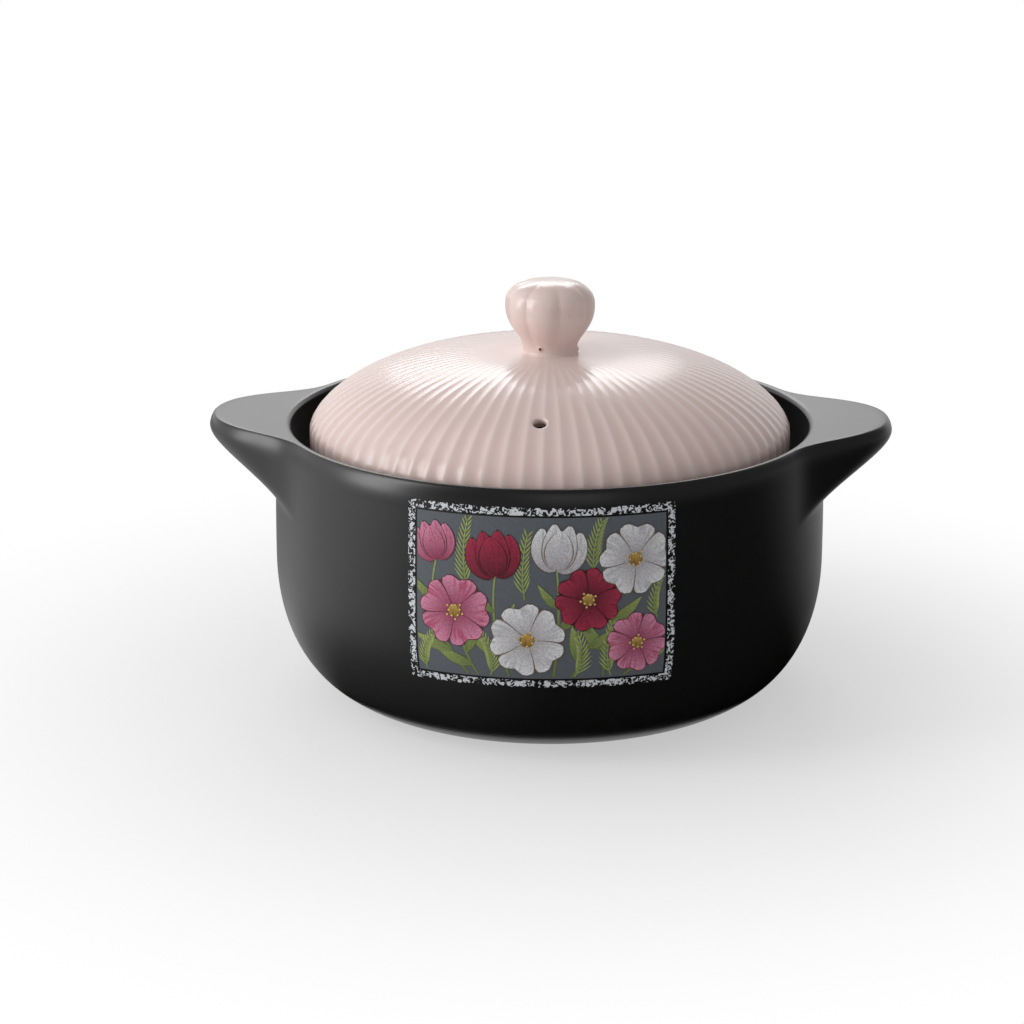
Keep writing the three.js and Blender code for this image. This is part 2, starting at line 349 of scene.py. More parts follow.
def connect(node: bpy.types.Node, links: dict[str | int, Source]) -> None:
    """Links what feeds a node to its input sockets.

    Args:
        node: The node that is fed.
        links: The output socket for each input socket, by name or number; a node gives its first output.
    """
    for key, source in links.items():
        socket = source.outputs[0] if isinstance(source, bpy.types.Node) else source
        node.id_data.links.new(socket, node.inputs[key])


def add_node(
    tree: bpy.types.NodeTree,
    kind: str,
    settings: dict[str | int, object] | None = None,
    links: dict[str | int, Source] | None = None,
) -> bpy.types.Node:
    """Adds one shader node with its settings and its incoming links.

    Args:
        tree: Node tree of a material or the world.
        kind: Blender's name of the node type, after ShaderNode.
        settings: Values of node properties, or of input sockets by name or number.
        links: What feeds each input socket, as connect takes it.

    Returns:
        The new node.
    """
    node = tree.nodes.new(f"ShaderNode{kind}")
    for key, value in (settings or {}).items():
        if key in node.bl_rna.properties.keys():
            setattr(node, key, value)
        else:
            node.inputs[key].default_value = value
    connect(node, links or {})
    return node


def start_material(name: str, **sockets: float) -> tuple[bpy.types.Material, bpy.types.Node]:
    """Starts a material with one Principled shader.

    Args:
        name: Name of the material.
        sockets: Constants for the shader's sockets, with _ for each space.

    Returns:
        The material and its shader.
    """
    material = bpy.data.materials.new(name)
    material.use_nodes = True
    shader = material.node_tree.nodes["Principled BSDF"]
    for socket, value in sockets.items():
        shader.inputs[socket.replace("_", " ")].default_value = value
    return material, shader


@dataclass(frozen=True)
class SatinBlackGlaze:
    """Iron-black satin glaze, dipped and fired: even black, softly mirroring, with a faint orange peel.

    The foot ring was wiped before firing, so it shows bare clay. The gallery is painted a darker, matt black
    that hardly shines: painted shade between the lid and the rim.
    """

    thin: str = "#191817"
    deep: str = "#141313"
    clay: str = "#a58a70"
    # The gallery's darker colour: painted shade between the lid and the rim.
    gallery_shade: str = "#131211"
    ior: float = 1.56
    shine: float = 0.5
    gallery_shine: float = 0.1
    roughness: float = 0.3
    rough_spread: float = 0.03
    clay_roughness: float = 0.85
    gallery_roughness: float = 0.95
    mottle_size: float = 22.0
    peel_size: float = 1.1
    peel_depth: float = 0.012
    wiped_height: float = 0.8
    # Name of the gallery's mask, which darkens its colour as painted shade and makes it matt.
    gallery_shade_mark: str = "gallery_shade"

    def material(self) -> bpy.types.Material:
        """Builds the glaze's nodes.

        Returns:
            The material for the pot's skin.
        """
        material, shader = start_material("satin_black_glaze", IOR=self.ior)
        tree = material.node_tree
        place = add_node(tree, "TexCoord").outputs["Object"]
        mottle = add_node(
            tree, "TexNoise", {"Scale": pattern_scale(self.mottle_size), "Detail": 4.0}, {"Vector": place})
        glaze = add_node(
            tree, "Mix", {"data_type": "RGBA", 6: linear(self.thin), 7: linear(self.deep)}, {0: mottle})
        height = add_node(tree, "SeparateXYZ", {}, {0: place}).outputs["Z"]
        wiped = add_node(
            tree, "MapRange",
            {"From Min": self.wiped_height * MM, "From Max": self.wiped_height * MM / 2}, {"Value": height})
        skin = add_node(
            tree, "Mix", {"data_type": "RGBA", 7: linear(self.clay)}, {0: wiped, 6: glaze.outputs[2]})
        # The gallery's mask: its colour is darkened as painted shade, and it is made matt and dull.
        gallery_shade_share = add_node(tree, "Attribute", {"attribute_name": self.gallery_shade_mark}).outputs["Fac"]
        gallery_shaded = add_node(
            tree, "Mix", {"data_type": "RGBA", 7: linear(self.gallery_shade)}, {0: gallery_shade_share, 6: skin.outputs[2]})
        shine = add_node(
            tree, "MapRange", {"To Min": self.shine, "To Max": self.gallery_shine}, {"Value": gallery_shade_share})
        satin = add_node(
            tree, "MapRange",
            {"To Min": self.roughness - self.rough_spread, "To Max": self.roughness + self.rough_spread},
            {"Value": mottle})
        rough = add_node(tree, "Mix", {"data_type": "FLOAT", 3: self.clay_roughness}, {0: wiped, 2: satin})
        matt = add_node(tree, "Mix", {"data_type": "FLOAT", 3: self.gallery_roughness}, {0: gallery_shade_share, 2: rough})
        peel = add_node(
            tree, "TexNoise", {"Scale": pattern_scale(self.peel_size), "Detail": 2.0}, {"Vector": place})
        bump = add_node(tree, "Bump", {"Strength": 0.5, "Distance": self.peel_depth * MM}, {"Height": peel})
        connect(shader, {
            "Base Color": gallery_shaded.outputs[2], "Specular IOR Level": shine, "Roughness": matt, "Normal": bump})
        return material


@dataclass(frozen=True)
class SatinBlushGlaze:
    """Pale pink satin glaze, sprayed and fired: pale where it is thin on the ridges, pinker in the flutes."""

    ridge: str = "#ead5cf"
    pool: str = "#dbbfb8"
    ior: float = 1.5
    roughness: float = 0.23
    rough_spread: float = 0.04
    mottle_size: float = 14.0
    peel_size: float = 0.9
    peel_depth: float = 0.004
    pool_mark: str = "pool"

    def material(self) -> bpy.types.Material:
        """Builds the glaze's nodes.

        Returns:
            The material for the lid and its knob.
        """
        material, shader = start_material("satin_blush_glaze", IOR=self.ior)
        tree = material.node_tree
        place = add_node(tree, "TexCoord").outputs["Object"]
        mottle = add_node(
            tree, "TexNoise", {"Scale": pattern_scale(self.mottle_size), "Detail": 3.0}, {"Vector": place})
        pooled = add_node(tree, "Attribute", {"attribute_name": self.pool_mark}).outputs["Fac"]
        uneven = add_node(
            tree, "MapRange", {"From Min": 0.3, "From Max": 0.7, "To Min": 0.75, "To Max": 1.0},
            {"Value": mottle})
        share = add_node(tree, "Math", {"operation": "MULTIPLY"}, {0: pooled, 1: uneven})
        glaze = add_node(
            tree, "Mix", {"data_type": "RGBA", 6: linear(self.ridge), 7: linear(self.pool)}, {0: share})
        satin = add_node(
            tree, "MapRange",
            {"To Min": self.roughness - self.rough_spread, "To Max": self.roughness + self.rough_spread},
            {"Value": mottle})
        peel = add_node(
            tree, "TexNoise", {"Scale": pattern_scale(self.peel_size), "Detail": 2.0}, {"Vector": place})
        bump = add_node(tree, "Bump", {"Strength": 0.4, "Distance": self.peel_depth * MM}, {"Height": peel})
        connect(shader, {"Base Color": glaze.outputs[2], "Roughness": satin, "Normal": bump})
        return material


@dataclass(frozen=True)
class PrintedGround:
    """Slate grey transfer ink under the flowers: flat and matt, with the grain of the screen.

    The screen's dots are too fine to show, so the grain is drawn coarser.
    """

    light: str = "#62676d"
    dark: str = "#54585e"
    roughness: float = 0.42
    grain_size: float = 0.9

    def material(self) -> bpy.types.Material:
        """Builds the ink's nodes.

        Returns:
            The material for the panel's ground.
        """
        material, shader = start_material("slate_ground_ink", Roughness=self.roughness)
        tree = material.node_tree
        place = add_node(tree, "TexCoord").outputs["Object"]
        grain = add_node(
            tree, "TexNoise", {"Scale": pattern_scale(self.grain_size), "Detail": 2.0}, {"Vector": place})
        ink = add_node(
            tree, "Mix", {"data_type": "RGBA", 6: linear(self.light), 7: linear(self.dark)}, {0: grain})
        connect(shader, {"Base Color": ink.outputs[2]})
        return material


@dataclass(frozen=True)
class FleckedBorder:
    """Black transfer ink with irregular white flecks, which fray out towards the panel's outer edge."""

    ground: str = "#141416"
    fleck: str = "#d2d5da"
    fleck_size: float = 1.5
    fleck_edges: Spot = (0.485, 0.515)
    fray: float = 0.1
    roughness: float = 0.42
    fray_mark: str = "fray"

    def material(self) -> bpy.types.Material:
        """Builds the border's nodes.

        Returns:
            The material for the panel's border.
        """
        material, shader = start_material("flecked_border_ink", Roughness=self.roughness)
        tree = material.node_tree
        place = add_node(tree, "TexCoord").outputs["Object"]
        flecks = add_node(
            tree, "TexNoise",
            {"Scale": pattern_scale(self.fleck_size), "Detail": 1.0, "Roughness": 0.5, "Distortion": 1.2},
            {"Vector": place})
        frayed = add_node(tree, "Attribute", {"attribute_name": self.fray_mark}).outputs["Fac"]
        level = add_node(
            tree, "Math", {"operation": "MULTIPLY_ADD", 1: -self.fray}, {0: frayed, 2: flecks})
        share = add_node(
            tree, "MapRange", {"From Min": self.fleck_edges[0], "From Max": self.fleck_edges[1]},
            {"Value": level})
        ink = add_node(
            tree, "Mix", {"data_type": "RGBA", 6: linear(self.ground), 7: linear(self.fleck)}, {0: share})
        connect(shader, {"Base Color": ink.outputs[2]})
        return material


@dataclass(frozen=True)
class MotifInk:
    """Screened transfer ink of one motif: drawn in fine streaks from foot to tip, with a thin outline.

    The screen's dots are too fine to show, so the grain is drawn coarser.
    """

    name: str
    foot: str
    tip: str
    streak: str
    line: str
    streak_count: float = 15.0
    streak_run: float = 1.3
    streak_shift_size: float = 9.0
    line_width: float = 0.09
    grain_size: float = 0.55
    roughness: float = 0.42

    def material(self) -> bpy.types.Material:
        """Builds the ink's nodes on the motif's own UV map: across in U, foot to tip in V.

        Returns:
            The material for all strokes of this ink.
        """
        material, shader = start_material(self.name, Roughness=self.roughness)
        tree = material.node_tree
        drawn = add_node(tree, "TexCoord").outputs["UV"]
        place = add_node(tree, "TexCoord").outputs["Object"]
        shares = add_node(tree, "SeparateXYZ", {}, {0: drawn}).outputs
        body = add_node(
            tree, "Mix", {"data_type": "RGBA", 6: linear(self.foot), 7: linear(self.tip)}, {0: shares["Y"]})
        shift = add_node(
            tree, "TexNoise", {"Scale": pattern_scale(self.streak_shift_size)}, {"Vector": place})
        stretched = add_node(
            tree, "Mapping", {"Scale": (self.streak_count, self.streak_run, 1.0)},
            {"Vector": drawn, "Location": shift.outputs["Color"]})
        streaks = add_node(tree, "TexNoise", {"Scale": 1.0, "Detail": 3.0}, {"Vector": stretched})
        strength = add_node(
            tree, "MapRange", {"From Min": 0.5, "From Max": 0.62, "To Max": 0.85}, {"Value": streaks})
        streaked = add_node(
            tree, "Mix", {"data_type": "RGBA", 7: linear(self.streak)}, {0: strength, 6: body.outputs[2]})
        across = add_node(tree, "Math", {"operation": "SUBTRACT", 1: 0.5}, {0: shares["X"]})
        side = add_node(tree, "Math", {"operation": "ABSOLUTE"}, {0: across})
        along = add_node(tree, "Math", {"operation": "SUBTRACT", 1: 0.5}, {0: shares["Y"]})
        edge = add_node(tree, "Math", {"operation": "MAXIMUM"}, {0: side, 1: along})
        outline = add_node(
            tree, "MapRange",
            {"From Min": 0.5 - self.line_width / 2, "From Max": 0.5 - self.line_width / 4}, {"Value": edge})
        outlined = add_node(
            tree, "Mix", {"data_type": "RGBA", 7: linear(self.line)}, {0: outline, 6: streaked.outputs[2]})
        grain = add_node(
            tree, "TexNoise", {"Scale": pattern_scale(self.grain_size), "Detail": 1.0}, {"Vector": place})
        screened = add_node(
            tree, "MapRange", {"From Min": 0.35, "From Max": 0.65, "To Min": 0.76, "To Max": 1.06},
            {"Value": grain})
        printed = add_node(
            tree, "Mix", {"data_type": "RGBA", "blend_type": "MULTIPLY", 0: 1.0},
            {6: outlined.outputs[2], 7: screened})
        connect(shader, {"Base Color": printed.outputs[2]})
        return material


# Pot and ears

@dataclass
class PotSkin:
    """The thrown pot and its two ears, which the glaze covers as one skin."""

    height: float
    body_radius: float
    half_span: float
    base_radius: float = 70.9
    belly_height: float = 58.0
    corner_fullness: float = 2.2
    rim_taper: float = 0.9
    shoulder_width: float = 3.0
    shoulder_height: float = 10.3
    foot_width: float = 9.0
    foot_recess: float = 1.5
    foot_round: float = 0.7
    wall: float = 8.0
    floor: float = 9.0
    heel_backing: float = 5.0
    rim_width: float = 6.4
    rim_inner_width: float = 2.8
    rim_inner_depth: float = 3.2
    gallery_depth: float = 13.0
    gallery_taper: float = 4.3
    gallery_start: Spot = (0.4, 1.0)
    gallery_bend: Spot = (0.5, 0.4)
    gallery_end: float = 1.5
    ledge_width: float = 8.0
    ledge_thickness: float = 5.0
    ledge_round: float = 1.5
    ledge_break: float = 1.0
    ledge_slope_bend: float = 8.0
    ledge_slope_end: float = 16.0
    # How far past the mouth the gallery's painted shade reaches.
    gallery_shade_margin: float = 0.5
    ear_depth: float = 31.0
    ear_round: float = 3.9
    ear_root: float = 93.0
    ear_tilt: float = 1.5
    ear_plan_fullness: float = 1.36
    ear_side_fullness: float = 0.93
    ear_sharpness: float = 2.2
    ear_softness: float = 0.08
    ear_blur_steps: int = 5
    crease_deg: float = 60.0
    turn_steps: int = 360
    corner_steps: int = 44
    wall_steps: int = 40
    shoulder_steps: int = 22
    rim_steps: int = 10
    ledge_steps: int = 8
    lip_steps: int = 6
    inner_corner_steps: int = 24

    @property
    def rim_radius(self) -> float:
        """Radius of the wall where the shoulder of the rim begins."""
        return self.body_radius - self.rim_taper

    @property
    def mouth_radius(self) -> float:
        """Radius of the mouth inside the rim."""
        return self.rim_radius - self.rim_width

    @property
    def flat_outer(self) -> float:
        """Outer radius of the flat of the rim."""
        return self.rim_radius - self.shoulder_width

    @property
    def flat_inner(self) -> float:
        """Inner radius of the flat of the rim."""
        return self.mouth_radius + self.rim_inner_width

    @property
    def shoulder_start(self) -> float:
        """Height at which the shoulder of the rim begins."""
        return self.height - self.shoulder_height

    def outside_points(self) -> Section:
        """Draws the outside without the ears: rounded lower wall, upper wall and soft shoulder.

        Returns:
            The points from the foot up to the flat of the rim.
        """
        corner = full_quarter(
            (self.base_radius, self.belly_height), (self.body_radius - self.base_radius, -self.belly_height),
            (self.corner_fullness,) * 2, self.corner_steps)
        wall = bezier(
            [(self.body_radius, self.belly_height),
             (self.body_radius, (self.belly_height + self.shoulder_start) / 2),
             (self.rim_radius, self.shoulder_start)], self.wall_steps)
        shoulder = arc(
            (self.flat_outer, self.shoulder_start), (self.shoulder_width, self.shoulder_height), 0, 90,
            self.shoulder_steps)
        return [*corner, *wall[1:], *shoulder[1:]]

    def outer_radius(self, heights: np.ndarray) -> np.ndarray:
        """Radius of the outer wall, without the ears, at each height."""
        radii, levels = np.array(self.outside_points()).T
        return np.interp(heights, levels, radii)

    def inside_points(self) -> Section:
        """Draws the inside: the rolled rim, the gallery, the ledge, the inner wall and the floor.

        Returns:
            The points from the flat of the rim to the floor's centre.
        """
        mouth = self.mouth_radius
        rim_under = self.height - self.rim_inner_depth
        ledge_height = self.height - self.gallery_depth
        ledge_under = ledge_height - self.ledge_thickness
        ledge_outer = mouth - self.gallery_taper
        ledge_inner = ledge_outer - self.ledge_width
        lip_centre = (ledge_inner + self.ledge_round, ledge_height - self.ledge_round)
        inner_radius = self.body_radius - self.wall
        inner_base = self.base_radius - self.heel_backing
        gallery = bezier(
            [(mouth - self.gallery_start[0], rim_under - self.gallery_start[1]),
             (ledge_outer + self.gallery_bend[0], ledge_height + self.gallery_bend[1]),
             (ledge_outer - self.gallery_end, ledge_height)], self.ledge_steps)
        slope = bezier(
            [(ledge_inner + self.ledge_break, ledge_under - self.ledge_break),
             (inner_radius, ledge_under - self.ledge_slope_bend),
             (inner_radius, ledge_under - self.ledge_slope_end)], self.ledge_steps)
        inner_corner = full_quarter(
            (inner_base, self.belly_height), (inner_radius - inner_base, self.floor - self.belly_height),
            (self.corner_fullness,) * 2, self.inner_corner_steps)
        return [
            *arc((self.flat_inner, rim_under), (self.rim_inner_width, self.rim_inner_depth), 90, 180,
                 self.rim_steps),
            *gallery,
            *arc(lip_centre, (self.ledge_round,) * 2, 90, 180, self.lip_steps),
            (ledge_inner, ledge_under),
            *slope,
            *inner_corner[::-1],
            (inner_base / 2, self.floor),
            (0.0, self.floor),
        ]

    def section(self) -> Section:
        """Draws the whole half section.

        Returns:
            The points from under the foot, round the outside, to the inner floor.
        """
        foot_inner = self.base_radius - self.foot_width
        flat = np.linspace(self.flat_outer, self.flat_inner, self.rim_steps)[1:-1]
        return [
            (0.0, self.foot_recess),
            (foot_inner / 2, self.foot_recess),
            (foot_inner - self.foot_recess, self.foot_recess),
            (foot_inner, self.foot_round / 2),
            (foot_inner + self.foot_round, 0.0),
            *self.outside_points(),
            *((float(radius), self.height) for radius in flat),
            *self.inside_points(),
        ]

    def ear_share(self, turns: np.ndarray, depths: np.ndarray) -> np.ndarray:
        """How far an ear stands out of the wall.

        Args:
            turns: Turn of each place from the middle of the ear, in radians.
            depths: Depth of each place below the rim.

        Returns:
            The share of the ear's full reach, 0 outside the ear.
        """
        root_turn = math.asin(self.ear_root / 2 / self.rim_radius)
        blur = np.linspace(-self.ear_softness, self.ear_softness, self.ear_blur_steps)
        near = np.abs(turns[:, None] + blur) / root_turn
        plan = cosine_fall(near, self.ear_plan_fullness).mean(axis=1)
        below = (depths - self.ear_round) / (self.ear_depth - self.ear_round)
        side = cosine_fall(below, self.ear_side_fullness)
        with np.errstate(divide="ignore"):
            both = plan ** -self.ear_sharpness + side ** -self.ear_sharpness - 1
        return both ** (-1 / self.ear_sharpness)

    def draw_ears(self, piece: bpy.types.Object) -> None:
        """Pulls both ears out of the turned rim and wall.

        Args:
            piece: The turned pot.
        """
        places = places_of(piece)
        radii = radii_of(places)
        pull = np.clip((radii - self.flat_inner) / (self.flat_outer - self.flat_inner), 0, 1)
        turns = np.arctan2(places[:, 1], np.abs(places[:, 0]))
        share = pull * self.ear_share(turns, self.height - places[:, 2])
        tip_wall = self.outer_radius(np.array([self.height - self.ear_round]))[0]
        grown = radii + (self.half_span - tip_wall) * share
        places[:, :2] *= (grown / np.maximum(radii, TINY))[:, None]
        places[:, 2] += self.ear_tilt * share
        move_vertices(piece, places)

    def build(self, glaze: SatinBlackGlaze) -> None:
        """Builds the glazed pot.

        Args:
            glaze: The finish of the whole skin, which reads where the gallery's painted shade lies.
        """
        piece = turn_section("pot_skin", self.section(), self.turn_steps)
        self.draw_ears(piece)
        places = places_of(piece)
        # Mark the gallery, whose colour the glaze darkens as painted shade between the lid and the rim.
        within = radii_of(places) < self.mouth_radius + self.gallery_shade_margin
        above = places[:, 2] > self.height - self.gallery_depth - self.ledge_thickness
        mark_vertices(piece, glaze.gallery_shade_mark, (within & above).astype(float))
        smooth(piece, self.crease_deg)
        dress(piece, glaze.material())
        hand_over(piece, Body.POT, Slot.POT_GLAZE, "pot_body", "left_handle", "right_handle")


# Lid and knob

@dataclass
class FlutedLid:
    """The domed lid with its radial flutes, an upright skirt and a slanted steam vent."""

    seat: float
    radius: float
    height: float
    edge_top: float = 9.2
    edge_round: float = 2.0
    edge_band: float = 0.4
    skirt: float = 7.2
    crown_radius: float = 28.0
    dome_fullness: Spot = (1.94, 1.6)
    wall: float = 5.0
    seat_width: float = 6.0
    seat_lip: float = 1.0
    flute_count: int = 80
    flute_depth: float = 0.62
    flute_from: float = 14.0
    flute_fade: float = 1.5
    ridge_softness: float = 0.25
    vent_radius: float = 2.6
    vent_lip: float = 0.9
    vent_throat: float = 2.2
    vent_undercut: float = 2.2
    vent_place: float = 75.7
    vent_turn_deg: float = -1.2
    vent_slant_deg: float = 26.0
    steps_per_flute: int = 10
    dome_steps: int = 48
    hollow_steps: int = 20
    edge_steps: int = 6
    vent_steps: int = 48

    def dome_height(self, radii: np.ndarray) -> np.ndarray:
        """Finds the dome's outside.

        Args:
            radii: Distances from the lid's axis.

        Returns:
            The height over the seat at each radius.
        """
        share = np.clip((radii - self.crown_radius) / (self.radius - self.crown_radius), 0, 1)
        out, rise = self.dome_fullness
        return self.edge_top + (self.height - self.edge_top) * (1 - share ** out) ** (1 / rise)

    def section(self) -> Section:
        """Draws the half section.

        Returns:
            The points from the crown over the edge and the seat to the hollow's top.
        """
        dome = full_quarter(
            (self.crown_radius, self.edge_top),
            (self.radius - self.crown_radius, self.height - self.edge_top),
            self.dome_fullness, self.dome_steps)
        edge_centre = (self.radius - self.edge_round, self.edge_round)
        seat_inner = self.radius - self.edge_round - self.seat_width
        hollow = full_quarter(
            (self.crown_radius, self.skirt),
            (seat_inner - self.seat_lip - self.crown_radius, self.height - self.wall - self.skirt),
            self.dome_fullness, self.hollow_steps)
        outline = [
            (0.0, self.height),
            (self.crown_radius / 3, self.height),
            (self.crown_radius * 2 / 3, self.height),
            *dome,
            *arc(edge_centre, (self.edge_round,) * 2, 0, -90, self.edge_steps),
            (seat_inner, 0.0),
            *hollow[::-1],
            (0.0, self.height - self.wall),
        ]
        return [(radius, self.seat + height) for radius, height in outline]

    def scallop(self, places: np.ndarray) -> np.ndarray:
        """Finds how deep places lie in their flutes.

        Args:
            places: One row for each place on the lid.

        Returns:
            The share of the full depth: 0 on a ridge and inside, about 1 low in a flute at the edge.
        """
        radii = radii_of(places)
        heights = places[:, 2] - self.seat
        near_edge = radii > self.radius - self.edge_band
        outside = (self.dome_height(radii) - heights < self.wall / 2) | near_edge
        out = np.clip((radii - self.flute_from) / (self.radius - self.flute_from), 0, 1)
        arches = soft_scallop(front_turn(places) * self.flute_count / 2, self.ridge_softness)
        return outside * out ** self.flute_fade * arches

    def vent_cutter(self) -> bpy.types.Object:
        """Turns a cutter for the steam vent, which flares at the outside and opens under the wall.

        Returns:
            The cutter, slanted through the front of the dome.
        """
        under = -3 * self.wall
        throat = self.vent_radius + self.vent_undercut
        flare = self.vent_radius + 2 * self.vent_lip
        section = [
            (0.0, under),
            (throat, under),
            (throat, -self.wall),
            (self.vent_radius, -self.vent_throat),
            *arc((self.vent_radius + self.vent_lip, -self.vent_lip), (self.vent_lip,) * 2, 180, 110, 6),
            (flare, self.vent_lip / 2),
            (flare, self.wall),
            (0.0, self.wall),
        ]
        cutter = turn_section("vent_cutter", section, self.vent_steps)
        top = self.seat + float(self.dome_height(np.array([self.vent_place]))[0]) - self.flute_depth / 2
        cutter.matrix_world = (
            Matrix.Rotation(math.radians(self.vent_turn_deg), 4, "Z")
            @ Matrix.Translation(Vector((0, -self.vent_place, top)) * MM)
            @ Matrix.Rotation(math.radians(self.vent_slant_deg), 4, "X"))
        return cutter

    def build(self, glaze: SatinBlushGlaze, material: bpy.types.Material) -> None:
        """Builds the glazed lid.

        Args:
            glaze: The finish, which reads the depth in the flutes.
            material: The finish's material, which the knob shares.
        """
        piece = turn_section("lid_fluted", self.section(), self.flute_count * self.steps_per_flute)
        press_in(piece, self.flute_depth * self.scallop(places_of(piece)))
        cut_out(piece, self.vent_cutter())
        mark_vertices(piece, glaze.pool_mark, self.scallop(places_of(piece)))
        smooth(piece)
        dress(piece, material)
        hand_over(piece, Body.LID, Slot.LID_GLAZE, "lid_dome")


@dataclass
class LobedKnob:
    """The knob: eight lobes on a narrow neck, a pin hole that let the air out in firing, a bead of glaze."""

    foot: float
    height: float
    radius: float = 18.4
    neck_radius: float = 10.9
    belly_height: float = 19.0
    fullness: float = 2.6
    foot_flare: float = 0.8
    sink: float = 0.5
    lobe_count: int = 8
    lobe_depth: float = 0.9
    groove_turn_deg: float = 14.2
    groove_softness: float = 0.1
    neck_fade: float = 0.7
    crown_fade: float = 3.0
    pool_least: float = 0.15
    pool_gain: float = 0.5
    pin_radius: float = 0.65
    pin_height: float = 2.9
    pin_turn_deg: float = -18.4
    pin_depth: float = 4.0
    pin_overrun: float = 2.0
    pin_flare: float = 1.25
    burr_height: float = 0.45
    burr_width: float = 0.5
    bead_turn_deg: float = 80.0
    bead_height: float = 1.2
    bead_radius: float = 1.2
    steps_per_lobe: int = 28
    bulb_steps: int = 30
    neck_steps: int = 40
    flare_steps: int = 6
    pin_steps: int = 24

    def section(self) -> Section:
        """Draws the half section.

        Returns:
            The points from the top over the bulb and neck to the sunk foot.
        """
        bulb = full_quarter(
            (0.0, self.belly_height), (self.radius, self.height - self.belly_height), (self.fullness,) * 2,
            self.bulb_steps)
        neck = bezier(
            [(self.radius, self.belly_height), (self.radius, self.belly_height / 2),
             (self.neck_radius, self.belly_height / 3), (self.neck_radius, self.foot_flare)], self.neck_steps)
        foot_radius = self.neck_radius + self.foot_flare
        flare = arc(
            (foot_radius, self.foot_flare), (self.foot_flare,) * 2, 180, 265, self.flare_steps)
        outline = [*bulb, *neck[1:], *flare[1:], (foot_radius, -self.sink), (0.0, -self.sink)]
        return [(radius, self.foot + height) for radius, height in outline]

    def groove(self, places: np.ndarray) -> np.ndarray:
        """Finds how deep places lie in the grooves between the lobes.

        Args:
            places: One row for each place on the knob.

        Returns:
            The share of the full depth, from 0 to about 1.
        """
        radii = radii_of(places)
        below = np.clip((radii - self.neck_radius) / (self.radius - self.neck_radius), 0, 1) ** self.neck_fade
        above = (radii / self.radius) ** self.crown_fade
        share = np.where(places[:, 2] - self.foot > self.belly_height, above, below)
        turns = (front_turn(places) - math.radians(self.groove_turn_deg)) * self.lobe_count / 2
        return share * (1 - soft_scallop(turns, self.groove_softness))

    def beside(self, places: np.ndarray, turn_deg: float, height: float) -> np.ndarray:
        """Measures how far places lie from a level axis that runs out of the neck.

        Args:
            places: One row for each place on the knob.
            turn_deg: Turn of the axis from the front.
            height: Height of the axis over the knob's foot.

        Returns:
            The distances, with the knob's height for places behind the neck's middle.
        """
        axis = np.array(way_out(turn_deg))
        away = places - np.array((0, 0, self.foot + height))
        ahead = away @ axis
        return np.where(ahead > 0, np.linalg.norm(away - np.outer(ahead, axis), axis=1), self.height)

    def raise_burr(self, piece: bpy.types.Object) -> None:
        """Raises the clay that the pin pushed up round its hole, and the bead of glaze at the neck's foot.

        Args:
            piece: The lobed knob.
        """
        places = places_of(piece)
        burr = (self.beside(places, self.pin_turn_deg, self.pin_height) - self.pin_radius) / self.burr_width
        bead = self.beside(places, self.bead_turn_deg, self.bead_radius) / self.bead_radius
        raised = np.outer(self.burr_height * np.exp(-burr ** 2), way_out(self.pin_turn_deg))
        raised += np.outer(self.bead_height * np.exp(-bead ** 2), way_out(self.bead_turn_deg))
        move_vertices(piece, places + raised)

    def pin_cutter(self) -> bpy.types.Object:
        """Turns a cutter for the pin hole.

        Returns:
            The cutter, level and out through the neck.
        """
        start, end = self.neck_radius - self.pin_depth, self.neck_radius + self.pin_overrun
        section = [
            (0.0, start),
            (self.pin_radius, start),
            (self.pin_radius, self.neck_radius),
            (self.pin_radius * self.pin_flare, end),
            (0.0, end),
        ]
        cutter = turn_section("pin_cutter", section, self.pin_steps)
        turned = Vector((0, 0, 1)).rotation_difference(way_out(self.pin_turn_deg)).to_matrix().to_4x4()
        cutter.matrix_world = Matrix.Translation((0, 0, (self.foot + self.pin_height) * MM)) @ turned
        return cutter

    def build(self, glaze: SatinBlushGlaze, material: bpy.types.Material) -> None:
        """Builds the glazed knob.

        Args:
            glaze: The finish, which reads the depth in the grooves.
            material: The finish's material, which the lid shares.
        """
        piece = turn_section("knob_lobed", self.section(), self.lobe_count * self.steps_per_lobe)
        press_in(piece, self.lobe_depth * self.groove(places_of(piece)))
        self.raise_burr(piece)
        cut_out(piece, self.pin_cutter())
        pooled = self.pool_least + self.pool_gain * self.groove(places_of(piece))
        mark_vertices(piece, glaze.pool_mark, pooled)
        smooth(piece)
        dress(piece, material)
        hand_over(piece, Body.LID, Slot.LID_GLAZE, "lid_knob")


# Printed panel

class Shape(Enum):
    """How a printed stroke's half width runs from its foot to its tip."""

    PETAL = "petal"
    CUP = "cup"
    LEAF = "leaf"
    STEM = "stem"
    DISC = "disc"


class Ink(Enum):
    """The inks of the motifs, each its own material."""

    WHITE = MotifInk("white_petal_ink", "#a9a3a8", "#e4e5e6", "#b9b7bc", "#6e5a46")
    PINK = MotifInk("pink_petal_ink", "#8f2f52", "#dc8fac", "#b3476b", "#5d2a35")
    CRIMSON = MotifInk("crimson_petal_ink", "#5f0d22", "#b02a4c", "#8e1733", "#3d0a16")
    LEAF = MotifInk("leaf_ink", "#66743d", "#9aa862", "#7c8a4a", "#4d5a2c", 4.0)
    HEART = MotifInk("heart_ink", "#8a6424", "#c9a24e", "#5e4118", "#6b4a1c", 7.0)
    STAMEN = MotifInk("stamen_ink", "#d2b058", "#ecd790", "#dfc373", "#9a7430", 2.0)
    SPRIG = MotifInk("sprig_ink", "#7f8d48", "#b4be78", "#98a65c", "#8a9850", 3.0)


def way_up(turn_deg: float) -> np.ndarray:
    """Unit direction on the flat panel, clockwise of straight up by an angle."""
    turn = math.radians(turn_deg)
    return np.array((math.sin(turn), math.cos(turn)))


def turned_way(heading: np.ndarray, turn_deg: float) -> np.ndarray:
    """Unit direction on the flat panel, clockwise of a heading by an angle."""
    return way_up(math.degrees(math.atan2(heading[0], heading[1])) + turn_deg)


